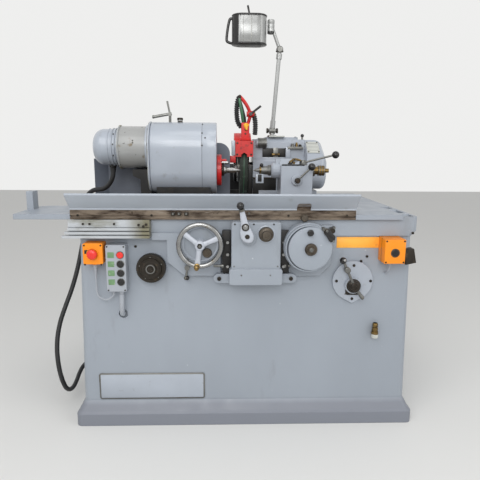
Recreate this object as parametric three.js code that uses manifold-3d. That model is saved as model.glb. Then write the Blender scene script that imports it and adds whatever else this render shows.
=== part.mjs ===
// Cylindrical grinding machine, in millimetres.
// X runs to the operator's right, Y away from the operator and Z up.
// The origin lies on the floor under the middle of the base.
import * as THREE from 'three';
import { mergeVertices } from 'three/addons/utils/BufferGeometryUtils.js';
import Module from 'manifold-3d';

const wasm = await Module();
wasm.setup();

// Gap between pieces that touch, and the overrun of every cut
const seatGap = 0.3;
const overrun = 2;
// Points of one surface that lie closer than this are one point
const weldGap = 0.001;

// Base casting: a hollow iron box on a flared plinth, with a swarf tray on top
const baseHeight = 997;
const bodyTopHalfWidth = 748;
const bodyFootHalfWidth = 766;
const bodyHalfDepth = 550;
const bodyCornerRadius = 26;
const bodyWall = 25;
const plinthOutset = 33;
const plinthBeadHeight = 58;
const plinthStepHeight = 68;
const plinthFlareHeight = 92;
const plinthTopHeight = 114;
const lipHeight = 87;
const lipSideOutset = 21;
const lipFrontOutset = 10;
const lipSlant = 22;
const deckThickness = 28;
const centreRibWidth = 30;
const troughDepth = 24;
const troughFrontWall = 16;
const troughWidth = 342;
const wayRise = 25;
const wayWidth = 62;
const frontWayInset = 60;
const rearWayInset = 60;
const wayBevel = 12;

// Table: a lower slide on the ways and a swivelling upper table
const tableCentreX = -146.5;
const tableHalfLength = 626.5;
const tableHalfDepth = 180;
const lowerTableHeight = 15;
const upperTableHeight = 30;
const skirtDrop = 13.3;
const skirtThickness = 13;
const skirtGap = 2;
const tSlotWidth = 14;
const tSlotDepth = 16;
const tSlotInset = 78;
const pivotBossRadius = 30;
const pivotBossHeight = 8;
const pivotClearance = 1;
const dogSlotHeight = 9;
const dogSlotDepth = 7;

// Way covers at the two ends of the table
const leftCoverLength = 244;
const rightCoverLength = 212;
const coverHeight = 9.5;
const coverDepth = 310;
const coverSkirtThickness = 6;
const coverCornerRadius = 70;
const stopBlockWidth = 30;
const stopBlockDepth = 60;
const stopBlockHeight = 84;

// Swarf guard along the front of the upper table
const guardLip = 14;
const guardThickness = 4;
const guardRise = 62;
const guardLean = 62;
const guardTopFold = 8;
const guardArchHalfWidth = 31;
const guardArchHeight = 26;
const guardSeatShare = 0.7;
const archX = 393.5;

// Knurled knob below the arch, which sets the swivel of the upper table
const swivelKnobRadius = 15.5;
const swivelKnobLength = 26;
const swivelKnobShankRadius = 8;

// Splash sheet behind the workhead
const splashLeft = 545;
const splashWing = 60;
const splashWingLean = 42;
const splashWingShare = 0.7;
const splashRight = 72.5;
const splashBottomRise = 4;
const splashHeight = 272.4;
const splashCorner = 55;
const splashThickness = 3;
const splashGap = 32;
const splashStrap = 24;

// Workhead, with its heights measured from the work axis
const workAxisSetback = 65;
const workheadX = -291;
const workheadBaseLength = 250;
const workheadBaseInset = 23;
const workheadBaseHeight = 44;
const footLeft = 239;
const footStepX = 195;
const footRight = 140;
const footTop = 13;
const footStep = -25;
const footBottom = -98;
const footHalfDepth = 62;
const drumLeft = 154;
const drumSeam = 86;
const drumRight = 152;
const drumUpperRadius = 117;
const drumUpperRise = 105;
const drumLowerRadius = 110;
const drumEdge = 9;
const drumBackFlange = 10;
const seamGroove = 2.5;
const spindleRadius = 32;
const spindleTail = 120;
const spindleNose = 18;
const spindleClearance = 1;
const centreRadius = 13;
const centreLength = 76;
const centreTaper = 30;
const motorRadius = 98;
const motorLeft = 305;
const motorSides = 24;
const cowlRadius = 84;
const cowlLeft = 424;
const cowlRound = 50;
const cowlFlangeWidth = 5;
const cowlFlangeRise = 5;
const cowlFlangePitch = 14;
const driverRadius = 74;
const driverThickness = 22;
const driverPinRadius = 7;
const driverPinReach = 24;
const driverPinPlaceShare = 0.62;

// Clamp crank on top of the workhead
const crankX = -67;
const crankStem = 36;
const crankRodRadius = 4.5;
const crankBarLength = 80;
const crankBarDrop = 13;
const crankBarRadius = 7;
const crankUprightHeight = 60;
const crankUprightLean = 12;
const plugX = -20;
const plugRadius = 11;
const plugHeight = 20;

// Tailstock, with its heights measured from the work axis
const tailX = 237;
const tailHalfWidth = 75;
const tailHalfDepth = 78;
const tailTop = 26;
const tailBottomFlare = 9;
const tailFootHeight = 34;
const tailShelfHeight = 30;
const tailShelfRight = 18;
const armLength = 40;
const armRadius = 38;
const armTopBlock = 18;
const quillRadius = 20;
const quillTip = 204;
const quillTail = 50;
const quillNose = 36;
const quillPointRadius = 11;
const quillClearance = 0.5;
const rearScrewRadius = 27;
const rearScrewLength = 68;
const rearScrewTipRadius = 10;
const rearScrewTipLength = 22;
const hubRadius = 23;
const hubReach = 22;
const hubDrop = 42;
const leverBallRadius = 17;
const leverRodRadius = 5;
const leverReach = 90;
const leverAngleShare = 0.25;
const clampHubRadius = 17;
const clampHubHeight = 22;
const clampX = 40;
const clampReach = 146;
const clampRise = 40;

// Wheelhead bed, housing, guards and drive. Y runs from the wheelhead's origin, which lies behind
// the work axis, and heights are measured from the work axis.
const wheelheadSetback = 330;
const wheelX = 0;
const wheelY = 30;
const wheelheadBedLeft = 58;
const wheelheadBedRight = 420;
const wheelheadBedGap = 31;
const wheelheadBedBack = 520;
const wheelheadBedHeight = 48;
const slideHeight = 26;
const slideInset = 24;
const slideFront = -78;
const slideBack = 400;
const housingLeft = 50;
const housingRight = 329;
const housingFront = -64;
const housingNoseTop = 53;
const housingUpperFront = -40;
const housingTop = 152;
const housingBack = 215;
const housingBevel = 16;
const windowWidth = 42;
const windowHeight = 34;
const windowDepth = 40;
const windowBottom = 66;
const windowGap = 14;
const capLeft = 120;
const capRight = 300;
const capHeight = 12;
const beltGuardEndGap = 41;
const beltGuardFront = -128;
const beltGuardBackGap = 53;
const beltGuardSlideGap = 8.7;
const beltGuardTop = 150;
const beltGuardRound = 62;
const beltGuardWall = 6;
const beltGuardSlope = 118;
const wheelRadius = 165;
const wheelDeckGap = 28;
const wheelWidth = 40;
const wheelBore = 63;
const flangeRadius = 78;
const flangeThickness = 12;
const wheelShaftRadius = 30;
const wheelShaftEndGap = 32;
const wheelNutRadius = 26;
const pulleyRadius = 62;
const pulleyWidth = 58;
const headMotorRadius = 92;
const headMotorGap = 8;
const headMotorZ = 40;
const headMotorHoodGap = 21;
const headMotorFoot = 70;

// Red wheel guard
const hoodLeft = -50;
const hoodRight = 38;
const redNoseLeft = -46;
const redNoseRight = 46;
const redGuardGap = 12;
const redGuardSide = 8;
const redNoseInset = 10;
const redNoseBottom = 60;
const redNoseTop = 142;
const redNoseDepth = 60;
const redNoseNotch = 30;
const redNoseNotchRise = 22;

// Coolant pipe, nozzle and hoses above the guard
const coolantBlockWidth = 40;
const coolantBlockDepth = 46;
const coolantBlockCap = 14;
const coolantBlockOffset = 10;
const coolantPipeRadius = 9;
const coolantHoseRadius = 8;
const ribCount = 16;
const ribRadius = 14;
const ribRootRadius = 10;
const ribSides = 6;
const valveRadius = 17;
const valveLength = 36;
const valveOffset = 2;
const valveLeverX = 52;
const valveLeverZ = 40;
const rightRibShare = 0.7;
const valveLeverRadius = 5.5;
const valveLeverGrip = 9;

// Machine lamp
const lampX = 156;
const lampY = 0;
const lampBaseRadius = 24;
const lampBaseHeight = 10;
const lampNeckRadius = 13;
const lampKnuckleRise = 24;
const lampKnuckleRadius = 17;
const lampKnuckleWidth = 30;
const lampKnobRadius = 13;
const lampKnobLength = 17;
const lampPoleRadius = 11;
const lampPoleLength = 417;
const lampPoleLean = 32;
const lampArmRadius = 9;
const lampArmLeft = -50;
const lampArmRise = 128;
const lampElbowRadius = 15;
const lampElbowWidth = 26;
const lampHeadWidth = 184;
const lampHeadHeight = 148;
const lampHeadDepth = 110;
const lampHeadTaper = 26;
const lampHeadTop = 38;
const lampHeadWall = 6;
const lampHeadRecess = 9;
const lampHandleReach = 28;
const lampHandleRadius = 6;
const lampHandleSpan = 124;
const lampKnobTopRadius = 8;
const lampKnobTopHeight = 54;

// Apron plate on the front of the base, with its two round bosses. On the front, Y runs from the
// face of the base and Z from the top of the base, so that both are negative.
const apronThickness = 22;
const apronTop = -72;
const apronBottom = -268;
const apronRailGap = 1;
const apronDialGap = 4;
const apronStepHeight = 65;
const apronFootLeft = -279;
const apronFootRight = 328;
const apronRight = 380;
const apronSlotWidth = 46;
const apronSlotInset = 13;
const handwheelX = -207;
const handwheelTopGap = 27;
const handwheelBossRadius = 86;
const handwheelBossReach = 44;
const handwheelBossStep = 12;
const feedDialGap = 40;
const feedDialZ = -228;
const feedBossInset = 2;
const feedBossReach = 18;

// Table handwheel with its spinning crank knob
const handwheelRadius = 101;
const rimRadial = 17;
const rimAxial = 20;
const spokeWidth = 17;
const spokeThickness = 11;
const spokeCount = 3;
const spokeStart = -98;
const wheelHubRadius = 21;
const wheelHubReach = 50;
const rimSetback = 6;
const crankKnobRadius = 11;
const crankKnobLength = 40;

// Dark feed dial
const feedDialRadius = 66;
const feedDialThickness = 30;
const feedDialStep = 6;
const feedDialStepRadius = 46;
const feedDialHubRadius = 24;
const feedDialHubReach = 12;

// Reversing gearbox in the middle of the apron
const gearboxLeft = -72;
const gearboxRight = 142;
const gearboxTop = -14;
const gearboxBottom = -291;
const gearboxFront = -90;
const gearboxEdge = 10;
const gearboxLedgeHeight = 73;
const gearboxLedgeOutset = 9;
const gearboxLugRadius = 21;
const gearboxLugReach = 58;
const gearboxLugThickness = 26;
const gearboxLugRise = 18;
const leverBossRadius = 32;
const leverBossReach = 8;
const reversingX = 3;
const reversingZ = -82;
const reversingReach = 146;
const reversingLean = 39;
const reversingHubRadius = 26;
const reversingHubDepth = 34;
const reversingBallRadius = 16;
const gearKnobX = 77;
const gearKnobZ = -65;
const gearKnobRadius = 32;
const gearKnobDepth = 14;
const gearKnobStepRadius = 19;
const gearKnobStepDepth = 22;

// Infeed wheel with its graduated ring
const infeedGap = 13;
const infeedTopGap = 17;
const infeedRingRadius = 108;
const infeedRingDepth = 66;
const infeedRingSetback = 4;
const infeedRingStep = 8;
const infeedDiscRadius = 95;
const infeedDiscDepth = 26;
const infeedDiscDome = 8;
const infeedHubRadius = 27;
const infeedHubReach = 20;
const infeedCrankX = -5;
const infeedCrankZ = 73;
const infeedCrankRadius = 12;
const infeedCrankLength = 28;
const indexX = 89;
const indexZ = 81;
const indexPlateX = 12;
const indexPlateZ = 17;
const indexGap = 3;
const indexPivotRadius = 11;
const indexPlateLength = 60;
const indexPlateWidth = 26;
const indexPlateThickness = 12;

// Small speed lever under the table handwheel
const speedLeverX = -268;
const speedLeverZ = -228;
const speedLeverHubRadius = 12;
const speedLeverReach = 46;
const speedLeverBallRadius = 10;
const speedLeverStandoff = 14;

// Feed selector on the right
const selectorGap = 11;
const selectorZ = -295;
const selectorFlangeRadius = 93;
const selectorFlangeDepth = 14;
const selectorTailReach = 13;
const selectorBossRadius = 38;
const selectorBossDepth = 16;
const selectorBossDrop = 18;
const selectorHubRadius = 27;
const selectorHubDepth = 30;
const selectorArmX = -58;
const selectorArmZ = 122;
const selectorTailX = 34;
const selectorTailZ = -46;
const selectorRodRadius = 6;
const selectorBallRadius = 15;
const selectorSpoolRadius = 13;
const selectorSpoolShare = 0.66;

// Electrical boxes
const estopX = -672;
const estopRailGap = 22.5;
const estopWidth = 85;
const estopHeight = 93;
const estopDepth = 68;
const boxEdge = 6;
const glandRadius = 11;
const glandLength = 16;
const estopGlandY = -34;
const mushroomRadius = 22;
const mushroomDepth = 16;
const mushroomStemRadius = 11;
const mushroomStem = 14;
const mushroomTravel = 6;
const stationSideGap = 10.5;
const stationRailGap = 31;
const stationWidth = 86;
const stationHeight = 210;
const stationDepth = 62;
const stationGlandX = 16;
const stationGlandY = -40;
const buttonRadius = 14.5;
const buttonReach = 7;
const buttonTravel = 4;
const buttonOffset = 20;
const buttonPitch = 40.5;
const buttonTop = 61;
const buttonCount = 4;
const rightBoxGap = 20;
const rightBoxLipGap = 1.5;
const rightBoxWidth = 92;
const rightBoxHeight = 108;
const rightBoxDepth = 92;
const rightGlandX = -3;
const rightGlandY = -38;
const rightButtonRadius = 15;
const rightButtonZ = -5;
const switchLength = 46;
const switchHeight = 62;
const switchDepth = 44;
const switchLean = 12;
const switchZ = -33;

// Oil valve low on the right
const oilX = 598;
const oilZ = -551;
const oilBodyRadius = 16;
const oilBodyHeight = 30;
const oilStandoff = 22;
const oilCapRadius = 12;
const oilCapHeight = 42;

// Trip rail under the left end of the table
const railLeft = -800;
const railRight = -425;
const railTop = -9;
const railPlateHeight = 32;
const railPlateThickness = 5;
const railFront = -70;
const railBarHeight = 11;
const railBarDepth = 16;
const railBarPitch = 17;
const railBarCount = 3;
const railBackLeft = -740;
const railBarStagger = 13;

// Cables held between fixed housings, and the free hose of the work motor
const thinCableRadius = 3.5;
const conduitRadius = 11;
const conduitHoleRadius = 21;
const conduitX = -565;
const conduitZ = -452;
const hoseRadius = 11;
const hoseGlandRadius = 17;
const hoseGlandLength = 16;
const hoseY = -106;
const hoseZ = 140;
const hoseGlandInset = 38;
const cordSides = 8;
const cableStepShare = 5;

// Points from the face and the top of the base
const estopCableRoute = [
  [-672, -34, -219.8], [-672, -34, -250], [-672, -33, -285], [-672, -32, -318], [-670.5, -31, -343],
  [-662, -31, -361.5], [-648.5, -31, -371], [-634, -31.5, -374], [-619.5, -32, -371], [-607, -33, -363],
  [-599, -35, -352], [-596.3, -35.8, -341], [-596, -36, -329.6],
];
const conduitRoute = [
  [-560, -40, -345.3], [-560, -40, -365], [-561, -39, -392], [-563, -32, -422],
  [-565, -17, -446], [-565, -4, -451.5], [-565, 10, -452],
];
// Points from the box's gland
const rightCableRoute = [
  [0, 0, -8.5], [0, 0, -26.5], [-2, 6, -44.5], [-6, 22, -56.5], [-8, 35, -60.5],
];
// Points from the wheelhead's origin and the floor
const hoseRoute = [
  [-634, -330, 1196.7], [-634, -330, 1186], [-638.1, -327.9, 1156.6], [-650.2, -321.8, 1130.2], [-669, -312.3, 1109.1],
  [-692.6, -300.4, 1095.6], [-718.8, -287.1, 1091], [-745, -273.8, 1086.4], [-768.6, -261.9, 1072.9], [-787.4, -252.4, 1051.8],
  [-799.4, -246.3, 1025.4], [-803.6, -244.2, 996], [-804, -244.5, 966], [-806, -245.5, 930], [-810, -248, 890],
  [-814, -252, 850], [-823, -266, 795], [-833, -288, 730], [-847, -313, 660], [-866, -337, 590],
  [-890, -359, 520], [-911, -382, 452], [-922, -404, 386], [-924, -422, 320], [-919, -434, 255],
  [-911, -436, 195], [-904, -424, 142], [-899, -398, 98], [-895, -356, 69], [-893, -306, 60],
  [-892, -256, 68], [-891, -206, 86], [-883, -165, 104], [-863, -135, 119], [-839, -117.5, 129.5],
  [-812, -108, 136.5], [-796, -106, 139.6], [-782.9, -106, 140],
];
// Points from the wheelhead's origin and the work axis
const coolantPipeRoute = [
  [16, -92, 220], [26, -96, 250], [30, -100, 277], [20, -106, 307], [-2, -112, 340], [-26, -116, 366],
];
const greenHoseRoute = [
  [-4, -98, 224], [-8, -112, 250], [-14, -122, 285], [-22, -124, 325], [-27, -119, 359],
];
const leftHoseRoute = [
  [-6, -88, 214], [-20, -92, 218], [-33, -100, 238], [-39, -108, 272], [-39, -112, 310],
  [-35, -114, 340], [-27, -115, 362],
];
const rightHoseRoute = [
  [48, -99, 276], [53, -101, 262], [57, -104, 240], [58, -107, 215], [57, -110, 190], [56, -111, 172],
];
const nozzleRoute = [
  [8, -110, 222], [10, -122, 214], [12, -130, 200],
];

// Finishes seen on the machine
const finishes = {
  paint: { color: 0xa9b1b8, roughness: 0.45, metalness: 0.1 },
  paintDark: { color: 0x878e95, roughness: 0.5, metalness: 0.1 },
  iron: { color: 0x6d6258, roughness: 0.4, metalness: 0.7 },
  steel: { color: 0xc9ccce, roughness: 0.25, metalness: 0.95 },
  aluminium: { color: 0xb9bdc0, roughness: 0.4, metalness: 0.8 },
  darkKnob: { color: 0x463c33, roughness: 0.5, metalness: 0.3 },
  black: { color: 0x161616, roughness: 0.5, metalness: 0 },
  rubber: { color: 0x141414, roughness: 0.8, metalness: 0 },
  red: { color: 0xc31f1c, roughness: 0.4, metalness: 0 },
  amber: { color: 0xf2991e, roughness: 0.45, metalness: 0 },
  boxGrey: { color: 0xb7bcc0, roughness: 0.5, metalness: 0 },
  abrasive: { color: 0x3d4747, roughness: 0.95, metalness: 0 },
  brass: { color: 0x8c7443, roughness: 0.35, metalness: 0.9 },
};

const machine = new THREE.Group();

// Signed volume of an indexed geometry, positive when its faces point out
function signedVolume(position, index) {
  const a = new THREE.Vector3();
  const b = new THREE.Vector3();
  const c = new THREE.Vector3();
  let total = 0;
  for (let i = 0; i < index.length; i += 3) {
    a.fromBufferAttribute(position, index[i]);
    b.fromBufferAttribute(position, index[i + 1]);
    c.fromBufferAttribute(position, index[i + 2]);
    total += a.dot(b.cross(c));
  }
  return total;
}

// Turns a closed three.js geometry into a manifold solid
function solidOf(geometry) {
  const bare = geometry.clone();
  bare.deleteAttribute('normal');
  bare.deleteAttribute('uv');
  const merged = mergeVertices(bare, weldGap);
  const corners = merged.index.array;
  const kept = [];
  for (let i = 0; i < corners.length; i += 3) {
    const [a, b, c] = [corners[i], corners[i + 1], corners[i + 2]];
    if (a !== b && b !== c && c !== a) {
      kept.push(a, b, c);
    }
  }
  if (signedVolume(merged.attributes.position, kept) < 0) {
    kept.reverse();
  }
  return solidFrom(merged.attributes.position.array, kept);
}

function solidFrom(points, corners) {
  return new wasm.Manifold(new wasm.Mesh({
    numProp: 3,
    vertProperties: new Float32Array(points),
    triVerts: new Uint32Array(corners),
  }));
}

function geometryOf(solid) {
  const mesh = solid.getMesh();
  const geometry = new THREE.BufferGeometry();
  geometry.setAttribute('position', new THREE.BufferAttribute(mesh.vertProperties, 3));
  geometry.setIndex(new THREE.BufferAttribute(mesh.triVerts, 1));
  geometry.computeVertexNormals();
  return geometry;
}

function addPart(parent, name, solid, finish) {
  const mesh = new THREE.Mesh(geometryOf(solid), new THREE.MeshStandardMaterial(finishes[finish]));
  mesh.name = name;
  parent.add(mesh);
  return mesh;
}

function groupAt(parent, x, y, z) {
  const group = new THREE.Group();
  group.position.set(x, y, z);
  parent.add(group);
  return group;
}

function joined(...solids) {
  return solids.reduce((whole, piece) => whole.add(piece));
}

function cut(solid, ...tools) {
  return tools.reduce((rest, tool) => rest.subtract(tool), solid);
}

// Box between two limits on each axis
function block(x0, x1, y0, y1, z0, z1) {
  const geometry = new THREE.BoxGeometry(x1 - x0, y1 - y0, z1 - z0);
  return solidOf(geometry.translate((x0 + x1) / 2, (y0 + y1) / 2, (z0 + z1) / 2));
}

function outline(points) {
  return new THREE.Shape(points.map(([u, v]) => new THREE.Vector2(u, v)));
}

// Rectangle with round corners, about the origin
function roundedOutline(halfWidth, halfHeight, radius) {
  const shape = new THREE.Shape();
  shape.moveTo(halfWidth, radius - halfHeight);
  shape.absarc(halfWidth - radius, halfHeight - radius, radius, 0, Math.PI / 2);
  shape.absarc(radius - halfWidth, halfHeight - radius, radius, Math.PI / 2, Math.PI);
  shape.absarc(radius - halfWidth, radius - halfHeight, radius, Math.PI, 1.5 * Math.PI);
  shape.absarc(halfWidth - radius, radius - halfHeight, radius, 1.5 * Math.PI, 2 * Math.PI);
  return shape;
}

// Outline in X and Z, pushed from y0 back to y1
function prismY(shape, y0, y1, bevel = 0, curveSegments = 2) {
  const geometry = new THREE.ExtrudeGeometry(shape, {
    depth: y1 - y0 - 2 * bevel,
    bevelEnabled: bevel > 0,
    bevelThickness: bevel,
    bevelSize: bevel,
    bevelOffset: -bevel,
    bevelSegments: 1,
    curveSegments,
  });
  return solidOf(geometry.rotateX(Math.PI / 2).translate(0, y1 - bevel, 0));
}

// Outline in Y and Z, pushed from x0 to x1
function prismX(shape, x0, x1, bevel = 0, curveSegments = 3) {
  const geometry = new THREE.ExtrudeGeometry(shape, {
    depth: x1 - x0 - 2 * bevel,
    bevelEnabled: bevel > 0,
    bevelThickness: bevel,
    bevelSize: bevel,
    bevelOffset: -bevel,
    bevelSegments: 1,
    curveSegments,
  });
  const turn = new THREE.Matrix4().makeBasis(
    new THREE.Vector3(0, 1, 0),
    new THREE.Vector3(0, 0, 1),
    new THREE.Vector3(1, 0, 0),
  );
  return solidOf(geometry.applyMatrix4(turn).translate(x0 + bevel, 0, 0));
}

// Outline in X and Y, pushed from z0 up to z1
function prismZ(shape, z0, z1, curveSegments = 2) {
  const geometry = new THREE.ExtrudeGeometry(shape, { depth: z1 - z0, bevelEnabled: false, curveSegments });
  return solidOf(geometry.translate(0, 0, z0));
}

function lathed(profile, segments) {
  return new THREE.LatheGeometry(profile.map(([r, h]) => new THREE.Vector2(r, h)), segments);
}

// Turned shapes from pairs of radius and height along +Z, along -Y and along +X
function turnedUp(profile, segments = 18) {
  return solidOf(lathed(profile, segments).rotateX(Math.PI / 2));
}

function turnedFront(profile, segments = 18) {
  return solidOf(lathed(profile, segments).rotateX(Math.PI));
}

function turnedRight(profile, segments = 18) {
  return solidOf(lathed(profile, segments).rotateZ(-Math.PI / 2));
}

function moved(solid, x, y, z) {
  const geometry = geometryOf(solid).translate(x, y, z);
  return solidFrom(geometry.attributes.position.array, geometry.index.array);
}

// Round rod between two points, which may taper
function rod(from, to, radius, endRadius = radius, segments = 10) {
  const start = new THREE.Vector3(...from);
  const along = new THREE.Vector3(...to).sub(start);
  const geometry = new THREE.CylinderGeometry(endRadius, radius, along.length(), segments);
  geometry.translate(0, along.length() / 2, 0);
  const turn = new THREE.Quaternion().setFromUnitVectors(new THREE.Vector3(0, 1, 0), along.normalize());
  return solidOf(geometry.applyQuaternion(turn).translate(start.x, start.y, start.z));
}

function ball(at, radius) {
  return solidOf(new THREE.SphereGeometry(radius, 10, 6).translate(...at));
}

function curveThrough(points) {
  return new THREE.CatmullRomCurve3(points.map((p) => new THREE.Vector3(...p)), false, 'centripetal');
}

// Tube of one round section along a route
function tube(points, radius, sides, steps) {
  const section = new THREE.Shape();
  section.absarc(0, 0, radius, 0, 2 * Math.PI);
  const geometry = new THREE.ExtrudeGeometry(section, {
    steps,
    curveSegments: sides / 2,
    extrudePath: curveThrough(points),
    bevelEnabled: false,
  });
  return solidOf(geometry);
}

// Closed skin through rings that have equally many points, from the first ring to the last
function skin(rings) {
  const count = rings[0].length;
  const points = rings.flat();
  const faces = [];
  for (let ring = 0; ring + 1 < rings.length; ring += 1) {
    for (let i = 0; i < count; i += 1) {
      const next = (i + 1) % count;
      const [a, b] = [ring * count + i, ring * count + next];
      faces.push(a, b, b + count, a, b + count, a + count);
    }
  }
  const firstMiddle = points.length;
  const middleOf = (ring) => ring.reduce((sum, p) => sum.add(p), new THREE.Vector3()).divideScalar(count);
  points.push(middleOf(rings[0]), middleOf(rings[rings.length - 1]));
  const lastStart = (rings.length - 1) * count;
  for (let i = 0; i < count; i += 1) {
    const next = (i + 1) % count;
    faces.push(firstMiddle, next, i);
    faces.push(firstMiddle + 1, lastStart + i, lastStart + next);
  }
  const geometry = new THREE.BufferGeometry();
  const flat = points.flatMap((p) => [p.x, p.y, p.z]);
  geometry.setAttribute('position', new THREE.BufferAttribute(new Float32Array(flat), 3));
  geometry.setIndex(faces);
  return solidOf(geometry);
}

// Level ring of a rounded rectangle at one height
function levelRing(halfWidth, halfDepth, radius, z) {
  const points = roundedOutline(halfWidth, halfDepth, radius).extractPoints(2).shape;
  return points.map((p) => new THREE.Vector3(p.x, p.y, z));
}

// Base casting

const lipBottom = baseHeight - lipHeight;
const frontY = -bodyHalfDepth;
const lipFrontY = frontY - lipFrontOutset;
const troughFloor = baseHeight - troughDepth;
const waysTop = troughFloor + wayRise;
const troughFrontY = lipFrontY + troughFrontWall;
const troughBackY = troughFrontY + troughWidth;
const hollowHeight = troughFloor - deckThickness;
const tableCentreY = lipFrontY - skirtGap - skirtThickness + tableHalfDepth;
const workAxisY = tableCentreY + workAxisSetback;
const workAxisRise = wheelRadius + wheelDeckGap;
const workAxisZ = baseHeight + workAxisRise;
const wheelheadY = workAxisY + wheelheadSetback;

function baseCasting() {
  const bodyRing = (outset, z) => levelRing(
    bodyFootHalfWidth + outset,
    bodyHalfDepth + outset,
    bodyCornerRadius,
    z,
  );
  const lipRing = (sideOutset, z) => levelRing(
    bodyTopHalfWidth + sideOutset,
    bodyHalfDepth + lipFrontOutset,
    bodyCornerRadius,
    z,
  );
  const shell = skin([
    bodyRing(plinthOutset, 0),
    bodyRing(plinthOutset, plinthBeadHeight),
    bodyRing(plinthOutset * 0.7, plinthStepHeight),
    bodyRing(plinthOutset * 0.35, plinthFlareHeight),
    bodyRing(0, plinthTopHeight),
    levelRing(bodyTopHalfWidth, bodyHalfDepth, bodyCornerRadius, lipBottom),
    lipRing(0, lipBottom + seatGap),
    lipRing(lipSideOutset, lipBottom + lipSlant),
    lipRing(lipSideOutset, baseHeight),
  ]);
  const hollow = skin([
    levelRing(bodyFootHalfWidth - bodyWall, bodyHalfDepth - bodyWall, bodyCornerRadius, -overrun),
    levelRing(bodyTopHalfWidth - bodyWall, bodyHalfDepth - bodyWall, bodyCornerRadius, hollowHeight),
  ]);
  const rib = block(
    -centreRibWidth / 2, centreRibWidth / 2,
    -bodyHalfDepth, bodyHalfDepth,
    -2 * overrun, hollowHeight + overrun,
  );
  const troughHalf = bodyTopHalfWidth + lipSideOutset - troughFrontWall;
  const trough = block(
    -troughHalf, troughHalf, troughFrontY, troughBackY, troughFloor, baseHeight + overrun,
  );
  const conduitHole = turnedFront([
    [0, -overrun], [conduitHoleRadius, -overrun],
    [conduitHoleRadius, bodyWall * 0.6], [0, bodyWall * 0.6],
  ], 12);
  const holeY = frontY + bodyWall * 0.6 - overrun;
  return joined(
    cut(shell, cut(hollow, rib), trough, moved(conduitHole, conduitX, holeY, baseHeight + conduitZ)),
    moved(feedDialBoss(), feedDialX, frontY, baseHeight + feedDialZ),
    moved(sideGland(), -bodyFootHalfWidth, wheelheadY + hoseY, hoseZ),
    bedWay(troughFrontY + frontWayInset, troughHalf),
    bedWay(troughBackY - rearWayInset - wayWidth, troughHalf),
  );
}

// Gland on the left side of the base, where the motor hose goes in
function sideGland() {
  return turnedRight([
    [0, -hoseGlandLength], [hoseGlandRadius * 0.8, -hoseGlandLength],
    [hoseGlandRadius, -hoseGlandLength / 2], [hoseGlandRadius, bodyWall / 2], [0, bodyWall / 2],
  ], 12);
}

// One straight way with bevelled edges along the trough
function bedWay(y, halfLength) {
  const shape = outline([
    [y, troughFloor - overrun], [y + wayWidth, troughFloor - overrun],
    [y + wayWidth, waysTop - wayBevel], [y + wayWidth - wayBevel, waysTop],
    [y + wayBevel, waysTop], [y, waysTop - wayBevel],
  ]);
  return prismX(shape, -halfLength - overrun, halfLength + overrun);
}

// Table and what rides on it

const lowerTableBottom = waysTop + seatGap;
const lowerTableTop = lowerTableBottom + lowerTableHeight;
const upperTableBottom = lowerTableTop + seatGap;
const tableTop = upperTableBottom + upperTableHeight;

function lowerTable() {
  const plate = block(
    -tableHalfLength, tableHalfLength, -tableHalfDepth, tableHalfDepth, 0, lowerTableHeight,
  );
  const skirt = block(
    -tableHalfLength, tableHalfLength,
    -tableHalfDepth, skirtThickness - tableHalfDepth,
    -skirtDrop, lowerTableHeight,
  );
  const slotMiddle = (lowerTableHeight - skirtDrop) / 2;
  const dogSlot = block(
    -tableHalfLength - overrun, tableHalfLength + overrun,
    -tableHalfDepth - overrun, dogSlotDepth - tableHalfDepth,
    slotMiddle - dogSlotHeight / 2, slotMiddle + dogSlotHeight / 2,
  );
  const bossHole = turnedUp([
    [0, lowerTableHeight - pivotBossHeight - seatGap],
    [pivotBossRadius + pivotClearance, lowerTableHeight - pivotBossHeight - seatGap],
    [pivotBossRadius + pivotClearance, lowerTableHeight + overrun],
    [0, lowerTableHeight + overrun],
  ]);
  return cut(joined(plate, skirt), dogSlot, bossHole);
}

function upperTable() {
  const plate = block(
    -tableHalfLength, tableHalfLength, -tableHalfDepth, tableHalfDepth, 0, upperTableHeight,
  );
  const slot = (y) => block(
    -tableHalfLength - overrun, tableHalfLength + overrun,
    y - tSlotWidth / 2, y + tSlotWidth / 2,
    upperTableHeight - tSlotDepth, upperTableHeight + overrun,
  );
  const boss = turnedUp([
    [0, -pivotBossHeight], [pivotBossRadius, -pivotBossHeight],
    [pivotBossRadius, overrun], [0, overrun],
  ]);
  const slotted = cut(plate, slot(tSlotInset - tableHalfDepth), slot(tableHalfDepth - tSlotInset));
  return joined(slotted, boss);
}

// Folded sheet cover over the ways, open below, with a skirt in front of the tray lip
function wayCover(length) {
  const plan = new THREE.Shape();
  plan.moveTo(0, 0);
  plan.lineTo(length, 0);
  plan.lineTo(length, coverDepth - coverCornerRadius);
  plan.absarc(length - coverCornerRadius, coverDepth - coverCornerRadius, coverCornerRadius, 0, Math.PI / 2);
  plan.lineTo(0, coverDepth);
  const skirt = block(0, length, 0, coverSkirtThickness, -skirtDrop, coverHeight);
  return joined(prismZ(plan, 0, coverHeight), skirt);
}

// Upright block bolted on the far end of the left cover
function stopBlock() {
  return block(0, stopBlockWidth, 0, stopBlockDepth, -seatGap, stopBlockHeight);
}

function leftWayCover() {
  const geometry = geometryOf(wayCover(leftCoverLength));
  const mirrored = solidOf(geometry.scale(-1, 1, 1));
  const blockX = stopBlockWidth - leftCoverLength;
  return joined(mirrored, moved(stopBlock(), blockX - stopBlockWidth, coverDepth / 2, coverHeight));
}

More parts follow.
